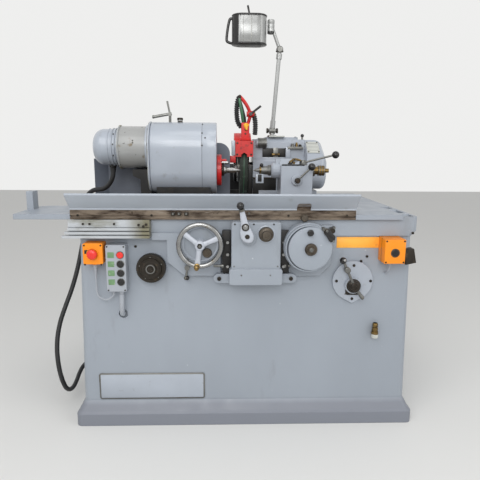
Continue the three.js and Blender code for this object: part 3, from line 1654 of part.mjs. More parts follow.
// Table handwheel, in a frame on its axis at the face of its boss
function tableHandwheel() {
  const rimMiddle = handwheelRadius - rimRadial / 2;
  const rimFront = wheelHubReach - rimSetback;
  const rimSection = [];
  const rimPoints = 6;
  for (let i = 0; i <= rimPoints; i += 1) {
    const angle = (i / rimPoints) * 2 * Math.PI;
    rimSection.push([
      rimMiddle + (rimRadial / 2) * Math.cos(angle),
      rimFront - rimAxial / 2 + (rimAxial / 2) * Math.sin(angle),
    ]);
  }
  const hub = turnedFront([
    [0, seatGap], [wheelHubRadius, seatGap], [wheelHubRadius, wheelHubReach * 0.8],
    [wheelHubRadius * 0.8, wheelHubReach], [0, wheelHubReach],
  ], 18);
  const spokes = [];
  for (let i = 0; i < spokeCount; i += 1) {
    const angle = THREE.MathUtils.degToRad(spokeStart) + (i / spokeCount) * 2 * Math.PI;
    const arm = outline([
      [0, -spokeWidth / 2], [rimMiddle, -spokeWidth * 0.4],
      [rimMiddle, spokeWidth * 0.4], [0, spokeWidth / 2],
    ]);
    const geometry = geometryOf(prismY(
      arm, spokeThickness / 2 - wheelHubReach * 0.75, spokeThickness * 1.5 - wheelHubReach * 0.75,
    ));
    spokes.push(solidOf(geometry.rotateY(-angle)));
  }
  const knobAngle = THREE.MathUtils.degToRad(spokeStart);
  const knob = moved(turnedFront([
    [0, rimFront - rimAxial / 2], [crankKnobRadius * 0.6, rimFront - rimAxial / 2],
    [crankKnobRadius * 0.6, rimFront + overrun], [crankKnobRadius * 0.8, rimFront + overrun],
    [crankKnobRadius, rimFront + crankKnobLength * 0.7],
    [crankKnobRadius * 0.7, rimFront + crankKnobLength], [0, rimFront + crankKnobLength],
  ], 12), rimMiddle * Math.cos(knobAngle), 0, rimMiddle * Math.sin(knobAngle));
  return joined(turnedFront(rimSection, 36), hub, ...spokes, knob);
}

// Gearbox cover with its wider ledge and two bolted lugs
function gearboxHousing() {
  const middle = (gearboxLeft + gearboxRight) / 2;
  const halfWidth = (gearboxRight - gearboxLeft) / 2;
  const back = apronFront - seatGap;
  const boxPart = (half, bottom, top, front) => {
    const shape = roundedOutline(half, (top - bottom) / 2, gearboxEdge);
    const solid = prismY(shape, front, back, seamGroove, 2);
    return moved(solid, middle, 0, (top + bottom) / 2);
  };
  const lug = (x) => moved(turnedFront([
    [0, 0], [gearboxLugRadius, 0], [gearboxLugRadius, gearboxLugThickness], [0, gearboxLugThickness],
  ], 16), x, back, gearboxLugZ);
  const lugReach = halfWidth + gearboxLugReach;
  const lugBar = block(
    middle - lugReach, middle + lugReach, back - gearboxLugThickness, back,
    gearboxLugZ - gearboxLugRadius, gearboxLugZ + gearboxLugRadius,
  );
  return joined(
    boxPart(halfWidth, gearboxBottom + gearboxEdge, gearboxTop, gearboxFront),
    boxPart(
      halfWidth + gearboxLedgeOutset, gearboxBottom, gearboxBottom + gearboxLedgeHeight,
      gearboxFront - gearboxLedgeOutset,
    ),
    lugBar, lug(middle - lugReach), lug(middle + lugReach),
    moved(turnedFront([
      [0, -overrun], [leverBossRadius, -overrun], [leverBossRadius, leverBossReach], [0, leverBossReach],
    ], 18), reversingX, gearboxFront, reversingZ),
  );
}

// Reversing lever: a flat tapering arm on a round hub, with a ball
function reversingLever() {
  const hub = turnedFront([
    [0, seatGap], [reversingHubRadius, seatGap], [reversingHubRadius, reversingHubDepth],
    [reversingHubRadius - gearboxEdge / 2, reversingHubDepth + gearboxEdge / 2],
    [0, reversingHubDepth + gearboxEdge / 2],
  ], 18);
  const tip = [-reversingLean, -reversingHubDepth - reversingBallRadius, reversingReach];
  const neck = [-reversingLean / 4, -reversingHubDepth * 0.7, reversingHubRadius];
  return joined(
    hub,
    rod([0, -reversingHubDepth * 0.7, 0], neck, reversingHubRadius * 0.7, reversingHubRadius * 0.55, 16),
    rod(neck, tip, reversingHubRadius * 0.55, reversingBallRadius * 0.4),
    ball(tip, reversingBallRadius),
  );
}

function gearboxKnob() {
  return turnedFront([
    [0, seatGap], [gearKnobRadius * 0.94, seatGap], [gearKnobRadius, gearKnobDepth / 3],
    [gearKnobRadius, gearKnobDepth], [gearKnobStepRadius, gearKnobDepth],
    [gearKnobStepRadius, gearKnobDepth + gearKnobStepDepth * 0.8],
    [gearKnobStepRadius * 0.8, gearKnobDepth + gearKnobStepDepth], [0, gearKnobDepth + gearKnobStepDepth],
  ], 24);
}

// Graduated ring on the apron behind the infeed wheel, with the arm that carries the index lever
function infeedRing() {
  const ring = moved(turnedFront([
    [0, seatGap], [infeedRingRadius, seatGap], [infeedRingRadius, infeedRingDepth - infeedRingStep],
    [infeedRingRadius - infeedRingStep, infeedRingDepth], [0, infeedRingDepth],
  ], 30), -infeedRingSetback, 0, 0);
  const arm = prismY(outline([
    [0, infeedRingRadius * 0.5], [indexX - indexPivotRadius * 3, indexZ + indexPivotRadius * 1.6],
    [indexX + indexPivotRadius, indexZ + indexPivotRadius * 1.6],
    [indexX + indexPivotRadius * 1.6, indexZ - indexPivotRadius], [infeedRingRadius * 0.5, 0],
  ]), -infeedRingDepth, -infeedRingDepth / 2);
  return joined(ring, arm);
}

// Oval index lever in front of the wheel's rim, in a frame on its pivot
function indexLever() {
  const start = infeedRingDepth + seatGap;
  const plateStart = start + infeedDiscDepth + indexGap;
  const plateEnd = plateStart + indexPlateThickness;
  const half = indexPlateWidth / 2;
  const straight = indexPlateLength / 2 - half;
  const plan = new THREE.Shape();
  plan.absarc(straight, 0, half, -Math.PI / 2, Math.PI / 2, false);
  plan.absarc(-straight, 0, half, Math.PI / 2, 1.5 * Math.PI, false);
  const flat = geometryOf(prismY(plan, -plateEnd, -plateStart, seamGroove / 2, 4));
  const plate = solidOf(flat.rotateY(Math.PI / 4).translate(-indexPlateX, 0, -indexPlateZ));
  const hub = turnedFront([
    [0, start], [indexPivotRadius, start], [indexPivotRadius, plateEnd], [0, plateEnd],
  ], 12);
  return joined(plate, hub);
}

function infeedHandwheel() {
  const start = infeedRingDepth + seatGap;
  const face = start + infeedDiscDepth;
  const disc = turnedFront([
    [0, start], [infeedDiscRadius - infeedDiscDome, start], [infeedDiscRadius, start + infeedDiscDome],
    [infeedDiscRadius, face - infeedDiscDome], [infeedDiscRadius - infeedDiscDome, face],
    [infeedHubRadius, face], [infeedHubRadius, face + infeedHubReach * 0.7],
    [infeedHubRadius * 0.75, face + infeedHubReach], [0, face + infeedHubReach],
  ], 30);
  const knob = moved(turnedFront([
    [0, face - overrun], [infeedCrankRadius * 0.6, face - overrun],
    [infeedCrankRadius, face + infeedCrankRadius],
    [infeedCrankRadius * 0.9, face + infeedCrankLength], [0, face + infeedCrankLength],
  ], 12), infeedCrankX, 0, infeedCrankZ);
  return joined(disc, knob);
}

// Short lever under the table handwheel
function speedLever() {
  const tip = [-speedLeverBallRadius / 2, -speedLeverStandoff, -speedLeverReach];
  const hub = turnedFront([
    [0, seatGap], [speedLeverHubRadius, seatGap], [speedLeverHubRadius, speedLeverStandoff],
    [0, speedLeverStandoff],
  ], 12);
  const arm = rod([0, -speedLeverStandoff / 2, 0], tip, leverRodRadius);
  return joined(hub, arm, ball(tip, speedLeverBallRadius));
}

// Round selector flange with its pointed tail and the thick seat of the lever
function selectorFlange() {
  const shape = new THREE.Shape();
  const side = Math.acos(selectorFlangeRadius / selectorTail);
  shape.absarc(0, 0, selectorFlangeRadius, side - Math.PI / 2, 1.5 * Math.PI - side, false);
  shape.lineTo(0, -selectorTail);
  const seat = moved(turnedFront([
    [0, selectorFlangeDepth - overrun], [selectorBossRadius, selectorFlangeDepth - overrun],
    [selectorBossRadius, selectorFlangeDepth + selectorBossDepth],
    [0, selectorFlangeDepth + selectorBossDepth],
  ], 18), 0, 0, -selectorBossDrop);
  return joined(prismY(shape, -selectorFlangeDepth, -seatGap, seamGroove / 2, 12), seat);
}

// Double-ended selector lever with a ball, a spool on its long arm and a short pin
function selectorLever() {
  const depth = selectorHubDepth * 0.7;
  const hub = turnedFront([
    [0, seatGap], [selectorHubRadius, seatGap], [selectorHubRadius, selectorHubDepth * 0.5],
    [selectorHubRadius * 0.75, selectorHubDepth * 0.6], [selectorHubRadius * 0.75, selectorHubDepth],
    [0, selectorHubDepth],
  ], 18);
  const tip = [selectorArmX, -depth, selectorArmZ];
  const tail = [selectorTailX, -depth, selectorTailZ];
  const spoolAt = tip.map((value, axis) => (axis === 1 ? value : value * selectorSpoolShare));
  const spool = moved(turnedFront([
    [0, 0], [selectorSpoolRadius, 0], [selectorSpoolRadius, selectorHubDepth * 0.8],
    [0, selectorHubDepth * 0.8],
  ], 12), spoolAt[0], -depth / 3, spoolAt[2]);
  return joined(
    hub,
    rod([0, -depth, 0], tip, selectorRodRadius),
    rod([0, -depth, 0], tail, selectorRodRadius * 1.3),
    ball(tip, selectorBallRadius),
    spool,
  );
}

// Electrical boxes and their buttons

function plainBox(width, height, depth) {
  return prismY(roundedOutline(width / 2, height / 2, boxEdge), -depth, -seatGap, seamGroove / 2, 1);
}

function gland(x, y, top) {
  return moved(turnedUp([
    [0, -glandLength], [glandRadius * 0.8, -glandLength], [glandRadius, -glandLength * 0.5],
    [glandRadius, overrun], [0, overrun],
  ], 12), x, y, top);
}

function estopBox() {
  const shaftRoom = moved(turnedFront([
    [0, -mushroomStem], [mushroomStemRadius + seatGap, -mushroomStem],
    [mushroomStemRadius + seatGap, overrun], [0, overrun],
  ], 18), 0, -estopDepth, 0);
  return cut(
    joined(plainBox(estopWidth, estopHeight, estopDepth), gland(0, estopGlandY, -estopHeight / 2)),
    shaftRoom,
  );
}

// Mushroom button, in a frame on the front face of its box
function mushroomButton() {
  const standoff = mushroomTravel + overrun;
  return turnedFront([
    [0, standoff - mushroomStem], [mushroomStemRadius, standoff - mushroomStem],
    [mushroomStemRadius, standoff], [mushroomRadius, standoff],
    [mushroomRadius, standoff + mushroomDepth * 0.5],
    [mushroomRadius * 0.8, standoff + mushroomDepth * 0.85],
    [mushroomRadius * 0.4, standoff + mushroomDepth], [0, standoff + mushroomDepth],
  ], 18);
}

function buttonHeight(index) {
  return buttonTop - index * buttonPitch;
}

function buttonStation() {
  const rooms = [];
  for (let i = 0; i < buttonCount; i += 1) {
    rooms.push(buttonRoom(buttonOffset, stationDepth, buttonHeight(i), buttonRadius));
  }
  const conduitGland = gland(stationGlandX, stationGlandY, -stationHeight / 2);
  return cut(joined(plainBox(stationWidth, stationHeight, stationDepth), conduitGland), ...rooms);
}

// Round well for a push button in the face of a box
function buttonRoom(x, depth, z, radius) {
  const well = buttonTravel + buttonReach + overrun;
  return moved(turnedFront([
    [0, -well], [radius + seatGap, -well], [radius + seatGap, overrun], [0, overrun],
  ], 16), x, -depth, z);
}

// Push button, in a frame on the face of its box
function pushButton(radius) {
  const inside = buttonReach + overrun - seatGap;
  return turnedFront([
    [0, -inside], [radius, -inside], [radius, buttonReach * 0.7],
    [radius * 0.85, buttonReach], [0, buttonReach],
  ], 16);
}

function rightControlBox() {
  const slab = outline([
    [rightBoxWidth / 2 - overrun, switchZ + switchHeight],
    [rightBoxWidth / 2 + switchLength, switchZ + switchHeight - switchLean],
    [rightBoxWidth / 2 + switchLength - switchLean, switchZ - switchLean / 2],
    [rightBoxWidth / 2 - overrun, switchZ],
  ]);
  const cable = tube(rightCableRoute, thinCableRadius, cordSides, rightCableRoute.length);
  return cut(
    joined(
      plainBox(rightBoxWidth, rightBoxHeight, rightBoxDepth),
      prismY(slab, -rightBoxDepth / 2 - switchDepth / 2, switchDepth / 2 - rightBoxDepth / 2, seamGroove),
      gland(rightGlandX, rightGlandY, -rightBoxHeight / 2),
      moved(cable, rightGlandX, rightGlandY, -rightBoxHeight / 2),
    ),
    buttonRoom(0, rightBoxDepth, rightButtonZ, rightButtonRadius),
  );
}

// Oil valve: an upright cap on an elbow from the face of the base
function oilValve() {
  const stem = turnedFront([
    [0, seatGap], [oilBodyRadius * 0.7, seatGap], [oilBodyRadius * 0.7, oilStandoff], [0, oilStandoff],
  ], 12);
  const body = moved(turnedUp([
    [0, -oilBodyRadius], [oilBodyRadius * 0.8, -oilBodyRadius], [oilBodyRadius, -oilBodyRadius / 2],
    [oilBodyRadius, oilBodyHeight / 2], [oilCapRadius, oilBodyHeight / 2],
    [oilCapRadius, oilBodyHeight / 2 + oilCapHeight * 0.4],
    [oilCapRadius * 0.8, oilBodyHeight / 2 + oilCapHeight * 0.5],
    [oilCapRadius, oilBodyHeight / 2 + oilCapHeight * 0.6],
    [oilCapRadius * 0.8, oilBodyHeight / 2 + oilCapHeight], [0, oilBodyHeight / 2 + oilCapHeight],
  ], 12), 0, -oilStandoff, 0);
  return joined(stem, body);
}

// Trip rail: a bracket on the tray lip with an upright plate and three staggered bars
function tripRail() {
  const plateBottom = railTop - railPlateHeight;
  const web = block(
    railBackLeft, railRight, railFront + railBarDepth, -lipFrontOutset - seatGap,
    railBottom, wayRise - troughDepth - skirtDrop - 2 * overrun,
  );
  const plate = block(
    railLeft + 2 * railBarStagger, railRight, railFront + railBarDepth - railPlateThickness,
    railFront + railBarDepth + overrun, plateBottom, railTop,
  );
  const backing = block(
    railLeft + 2 * railBarStagger, railRight, railFront + railBarDepth, railFront + 2 * railBarDepth,
    railBottom, plateBottom + overrun,
  );
  const bars = [];
  for (let i = 0; i < railBarCount; i += 1) {
    const top = plateBottom - overrun - i * railBarPitch;
    const start = railLeft + (2 - i) * railBarStagger;
    bars.push(block(
      start, railRight, railFront, railFront + railBarDepth + overrun, top - railBarHeight, top,
    ));
  }
  return joined(web, plate, backing, ...bars);
}

// Assembly

const panel = groupAt(machine, 0, frontY, baseHeight);

function addCable(parent, name, route, radius, finish) {
  const count = Math.round(curveThrough(route).getLength() / (radius * cableStepShare));
  addPart(parent, name, tube(route, radius, cordSides, Math.min(count, 40)), finish);
}

function buildBase() {
  addPart(machine, 'base_casting', baseCasting(), 'paint');
  addPart(panel, 'apron_plate', apronPlate(), 'paint');
  addPart(panel, 'trip_rail', tripRail(), 'steel');
  addPart(groupAt(machine, 0, wheelheadY, baseHeight), 'wheelhead_bed', wheelheadBed(), 'iron');
}

function buildTable() {
  const lower = groupAt(machine, tableCentreX, tableCentreY, lowerTableBottom);
  addPart(lower, 'lower_table', lowerTable(), 'iron');
  const coverY = -tableHalfDepth;
  const left = groupAt(lower, -tableHalfLength - seatGap, coverY, 0);
  addPart(left, 'left_way_cover', leftWayCover(), 'paint');
  const right = groupAt(lower, tableHalfLength + seatGap, coverY, 0);
  addPart(right, 'right_way_cover', wayCover(rightCoverLength), 'paint');
  const knobZ = lowerTableHeight - swivelKnobRadius - 2 * seatGap;
  const knob = groupAt(lower, archX, -tableHalfDepth - seatGap, knobZ);
  addPart(knob, 'swivel_knob', swivelKnob(), 'darkKnob');

  const upper = groupAt(machine, tableCentreX, tableCentreY, upperTableBottom);
  addPart(upper, 'upper_table', upperTable(), 'iron');
  const guard = groupAt(upper, 0, 0, upperTableHeight * guardSeatShare);
  addPart(guard, 'swarf_guard', swarfGuard(), 'paint');
  const sheet = groupAt(upper, 0, splashSetback, upperTableHeight + splashBottomRise);
  addPart(sheet, 'splash_sheet', splashSheet(), 'paintDark');
}

function buildWorkhead() {
  const head = groupAt(machine, workheadX, workAxisY, workAxisZ);
  addPart(head, 'workhead_base', workheadBase(), 'black');
  addPart(head, 'workhead_housing', workheadHousing(), 'paint');
  addPart(head, 'workhead_front_cover', workheadCover(), 'paint');
  addPart(head, 'workhead_motor', workheadMotor(), 'paint');
  addPart(head, 'motor_fan_cowl', motorFanCowl(), 'paint');
  addPart(head, 'driver_plate', driverPlate(), 'red');
  addPart(head, 'workhead_spindle', workheadSpindle(), 'steel');
  const crank = groupAt(head, crankX, 0, drumUpperRise + drumUpperRadius);
  addPart(crank, 'workhead_crank', workheadCrank(), 'steel');
}

function buildTailstock() {
  const tail = groupAt(machine, tailX, workAxisY, workAxisZ);
  addPart(tail, 'tailstock_body', tailstockBody(), 'paint');
  addPart(tail, 'tailstock_quill', tailstockQuill(), 'steel');
  addPart(tail, 'tailstock_rear_screw', tailstockRearScrew(), 'brass');
  const hub = groupAt(tail, 0, -tailHalfDepth - hubReach / 2, -hubDrop);
  addPart(hub, 'tailstock_quill_lever', tailstockQuillLever(), 'steel');
  const clamp = groupAt(tail, clampX, 0, tailTop);
  addPart(clamp, 'tailstock_clamp_lever', tailstockClampLever(), 'steel');
}

function buildWheelhead() {
  const head = groupAt(machine, 0, wheelheadY, workAxisZ);
  addPart(head, 'wheelhead_housing', wheelheadHousing(), 'paint');
  addPart(head, 'belt_guard', beltGuard(), 'paint');
  addPart(head, 'wheelhead_motor', wheelheadMotor(), 'paintDark');
  addPart(head, 'wheel_guard', wheelGuard(), 'red');
  addPart(head, 'coolant_pipe', coolantPipe(), 'red');
  const wheel = groupAt(head, wheelX, wheelY, 0);
  addPart(wheel, 'grinding_wheel', grindingWheel(), 'abrasive');
  addPart(wheel, 'wheel_spindle', wheelSpindle(), 'steel');
  const valve = groupAt(head, valveX, valveY - valveRadius - seatGap, valveZ);
  addPart(valve, 'coolant_valve_lever', coolantValveLever(), 'black');
}

function buildLamp() {
  const base = groupAt(machine, lampX, wheelheadY + lampY, workAxisZ + lampKnuckleZ);
  addPart(base, 'lamp_base', lampBase(), 'aluminium');
  addPart(base, 'lamp_pole', lampPole(), 'aluminium');
  const elbow = groupAt(base, lampPoleLean, 0, lampPoleLength);
  addPart(elbow, 'lamp_arm', lampArm(), 'aluminium');
  const head = groupAt(elbow, lampArmLeft, 0, lampArmRise);
  addPart(head, 'lamp_head', lampHead(), 'aluminium');
}

function buildControls() {
  const onBase = (x, z) => groupAt(panel, x, 0, z);
  const onApron = (x, z) => groupAt(panel, x, apronFront, z);
  addPart(onBase(feedDialX, feedDialZ), 'feed_dial', feedDial(), 'darkKnob');
  const wheelSeat = groupAt(panel, handwheelX, apronFront - handwheelBossReach, handwheelZ);
  addPart(wheelSeat, 'table_handwheel', tableHandwheel(), 'steel');
  addPart(panel, 'gearbox_housing', gearboxHousing(), 'paint');
  const leverY = gearboxFront - leverBossReach;
  addPart(groupAt(panel, reversingX, leverY, reversingZ), 'reversing_lever', reversingLever(), 'paint');
  addPart(groupAt(panel, gearKnobX, gearboxFront, gearKnobZ), 'gearbox_knob', gearboxKnob(), 'darkKnob');
  addPart(onApron(infeedX, infeedZ), 'infeed_ring', infeedRing(), 'paint');
  addPart(onApron(infeedX, infeedZ), 'infeed_handwheel', infeedHandwheel(), 'paint');
  addPart(onApron(infeedX + indexX, infeedZ + indexZ), 'index_lever', indexLever(), 'black');
  addPart(onApron(speedLeverX, speedLeverZ), 'speed_lever', speedLever(), 'steel');
  addPart(onBase(selectorX, selectorZ), 'selector_flange', selectorFlange(), 'paint');
  const seat = selectorFlangeDepth + selectorBossDepth;
  const selector = groupAt(panel, selectorX, -seat, selectorZ - selectorBossDrop);
  addPart(selector, 'selector_lever', selectorLever(), 'steel');
  addPart(onBase(oilX, oilZ), 'oil_valve', oilValve(), 'brass');
}

function buildElectrics() {
  const estop = groupAt(panel, estopX, 0, estopZ);
  addPart(estop, 'estop_box', estopBox(), 'amber');
  addPart(groupAt(estop, 0, -estopDepth, 0), 'estop_mushroom', mushroomButton(), 'red');
  const station = groupAt(panel, stationX, 0, stationZ);
  addPart(station, 'button_station', buttonStation(), 'boxGrey');
  for (let i = 0; i < buttonCount; i += 1) {
    const place = groupAt(station, buttonOffset, -stationDepth, buttonHeight(i));
    addPart(place, `button_${i + 1}`, pushButton(buttonRadius), i === 0 ? 'red' : 'black');
  }
  const right = groupAt(panel, rightBoxX, 0, rightBoxZ);
  addPart(right, 'right_control_box', rightControlBox(), 'amber');
  const rightPlace = groupAt(right, 0, -rightBoxDepth, rightButtonZ);
  addPart(rightPlace, 'right_button', pushButton(rightButtonRadius), 'black');
  addCable(panel, 'estop_cable', estopCableRoute, thinCableRadius, 'boxGrey');
  addCable(panel, 'station_conduit', conduitRoute, conduitRadius, 'boxGrey');
  addCable(groupAt(machine, 0, wheelheadY, 0), 'motor_cable', hoseRoute, hoseRadius, 'rubber');
}

buildBase();
buildTable();
buildWorkhead();
buildTailstock();
buildWheelhead();
buildLamp();
buildControls();
buildElectrics();

export default machine;
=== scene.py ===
import math

import bmesh
import bpy
from mathutils import Matrix, Vector


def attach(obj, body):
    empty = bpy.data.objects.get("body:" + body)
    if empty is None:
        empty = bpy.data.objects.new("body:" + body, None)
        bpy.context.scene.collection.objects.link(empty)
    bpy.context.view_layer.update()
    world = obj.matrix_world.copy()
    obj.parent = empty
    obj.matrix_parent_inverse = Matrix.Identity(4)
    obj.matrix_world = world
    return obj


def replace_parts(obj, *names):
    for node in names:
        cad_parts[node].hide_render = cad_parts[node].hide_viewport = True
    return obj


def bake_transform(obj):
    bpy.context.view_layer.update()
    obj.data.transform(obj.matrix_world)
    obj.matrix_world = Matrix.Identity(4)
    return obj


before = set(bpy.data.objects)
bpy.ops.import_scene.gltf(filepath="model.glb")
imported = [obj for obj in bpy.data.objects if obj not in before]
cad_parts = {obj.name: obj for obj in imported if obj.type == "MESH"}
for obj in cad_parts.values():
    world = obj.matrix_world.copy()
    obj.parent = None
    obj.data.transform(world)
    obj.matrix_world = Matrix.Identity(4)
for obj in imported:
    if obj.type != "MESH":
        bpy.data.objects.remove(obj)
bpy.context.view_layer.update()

scene = bpy.context.scene
millimetre = 0.001

# Camera, at the height and angle of the photograph

view = {
    "place": (-0.100, -2.665, 1.297),
    "pitch": 10.9,      # degrees down
    "yaw": 1.84,        # degrees to the right
    "roll": 0.39,
    "lens": 36.0,
    "sensor": 36.0,
    "farEnd": 60,       # metres
}


def makeCamera(v):
    pitch, yaw, roll = (math.radians(v[key]) for key in ("pitch", "yaw", "roll"))
    ahead = Vector((math.sin(yaw) * math.cos(pitch), math.cos(yaw) * math.cos(pitch), -math.sin(pitch)))
    level = Vector((math.cos(yaw), -math.sin(yaw), 0))
    down = ahead.cross(level)
    right = level * math.cos(roll) - down * math.sin(roll)
    up = -(level * math.sin(roll) + down * math.cos(roll))
    data = bpy.data.cameras.new("camera")
    data.sensor_width = v["sensor"]
    data.lens = v["lens"]
    data.clip_end = v["farEnd"]
    camera = bpy.data.objects.new("camera", data)
    scene.collection.objects.link(camera)
    turn = Matrix((right, up, -ahead)).transposed().to_4x4()
    camera.matrix_world = Matrix.Translation(v["place"]) @ turn
    scene.camera = camera


makeCamera(view)

# Colours and finishes

looks = {}
evenly = (1, 1, 1)      # a pattern that isn't stretched
patternStep = 3.1       # how far each finish's pattern is moved from the last one's


def colour(red, green, blue):
    parts = [value / 255 for value in (red, green, blue)]
    return [p / 12.92 if p <= 0.04045 else ((p + 0.055) / 1.055) ** 2.4 for p in parts] + [1]


class Finish:
    # One procedural material: a base colour that wanders, stains over it, and a fine bump

    def __init__(self, name, number, slot, base, rough, metal):
        self.material = bpy.data.materials.new(name)
        self.material.use_nodes = True
        self.material.diffuse_color = base
        self.tree = self.material.node_tree
        self.shader = self.tree.nodes["Principled BSDF"]
        self.setPlain({"Metallic": metal, "Roughness": rough, "Base Color": base})
        self.base, self.top, self.number = base, None, number
        looks[name] = self.material
        self.place = self.node("ShaderNodeTexCoord").outputs["Object"]

    def setPlain(self, values):
        for key, value in values.items():
            self.shader.inputs[key].default_value = value

    def node(self, kind, values=(), **settings):
        made = self.tree.nodes.new(kind)
        for key, value in settings.items():
            setattr(made, key, value)
        for key, value in dict(values).items():
            made.inputs[key].default_value = value
        return made

    def link(self, source, target):
        self.tree.links.new(source, target)

    def noise(self, scale, detail=3.0, stretch=evenly, rough=0.5):
        drift = (self.number * patternStep, 1.7, 0.4)
        mapping = self.node("ShaderNodeMapping", {"Scale": stretch, "Location": drift})
        texture = self.node("ShaderNodeTexNoise", {"Scale": scale, "Detail": detail, "Roughness": rough})
        self.link(self.place, mapping.inputs["Vector"])
        self.link(mapping.outputs["Vector"], texture.inputs["Vector"])
        return texture.outputs["Fac"]

    def ramp(self, source, low, high, colourLow=(0, 0, 0, 1), colourHigh=(1, 1, 1, 1)):
        ramp = self.node("ShaderNodeValToRGB")
        first, last = ramp.color_ramp.elements
        first.position, last.position = low, high
        first.color, last.color = colourLow, colourHigh
        self.link(source, ramp.inputs["Fac"])
        return ramp.outputs["Color"]

    def paintOver(self, mask, tint):
        mix = self.node("ShaderNodeMix", data_type="RGBA")
        self.link(mask, mix.inputs["Factor"])
        if self.top is None:
            mix.inputs["A"].default_value = self.base
        else:
            self.link(self.top, mix.inputs["A"])
        mix.inputs["B"].default_value = tint
        self.top = mix.outputs["Result"]
        self.link(self.top, self.shader.inputs["Base Color"])

    def mottle(self, amount, scale, stretch=evenly):
        # The base colour, darker and lighter from place to place
        low = [value * (1 - amount) for value in self.base[:3]] + [1]
        high = [min(1, value * (1 + amount)) for value in self.base[:3]] + [1]
        self.top = self.ramp(self.noise(scale, 4, stretch), 0.3, 0.7, low, high)
        self.link(self.top, self.shader.inputs["Base Color"])

    def stains(self, tint, scale, low, high, stretch=evenly):
        self.paintOver(self.ramp(self.noise(scale, 6.0, stretch, 0.6), low, high), colour(*tint))

    def band(self, axis, low, high, tint, wander):
        # Tint that grows from low to high along one axis, with a ragged edge
        parts = self.node("ShaderNodeSeparateXYZ")
        self.link(self.place, parts.inputs["Vector"])
        shift = self.node("ShaderNodeMath", operation="MULTIPLY_ADD")
        self.link(self.noise(12.0), shift.inputs[0])
        shift.inputs[1].default_value = wander
        self.link(parts.outputs[axis], shift.inputs[2])
        span = {"From Min": low + wander / 2, "From Max": high + wander / 2}
        spread = self.node("ShaderNodeMapRange", span)
        self.link(shift.outputs["Value"], spread.inputs["Value"])
        self.paintOver(spread.outputs["Result"], colour(*tint))

    def roughness(self, low, high, scale=14.0):
        span = {"From Min": 0.3, "From Max": 0.7, "To Min": low, "To Max": high}
        spread = self.node("ShaderNodeMapRange", span)
        self.link(self.noise(scale, 4), spread.inputs["Value"])
        self.link(spread.outputs["Result"], self.shader.inputs["Roughness"])

    def bump(self, strength, scale, depth=0.0004, edge=0.0):
        # Fine relief, over edges that look rounded by the given radius
        made = self.node("ShaderNodeBump", {"Strength": strength, "Distance": depth})
        self.link(self.noise(scale, 3), made.inputs["Height"])
        if edge:
            soften = self.node("ShaderNodeBevel", {"Radius": edge}, samples=4)
            self.link(soften.outputs["Normal"], made.inputs["Normal"])
        self.link(made.outputs["Normal"], self.shader.inputs["Normal"])


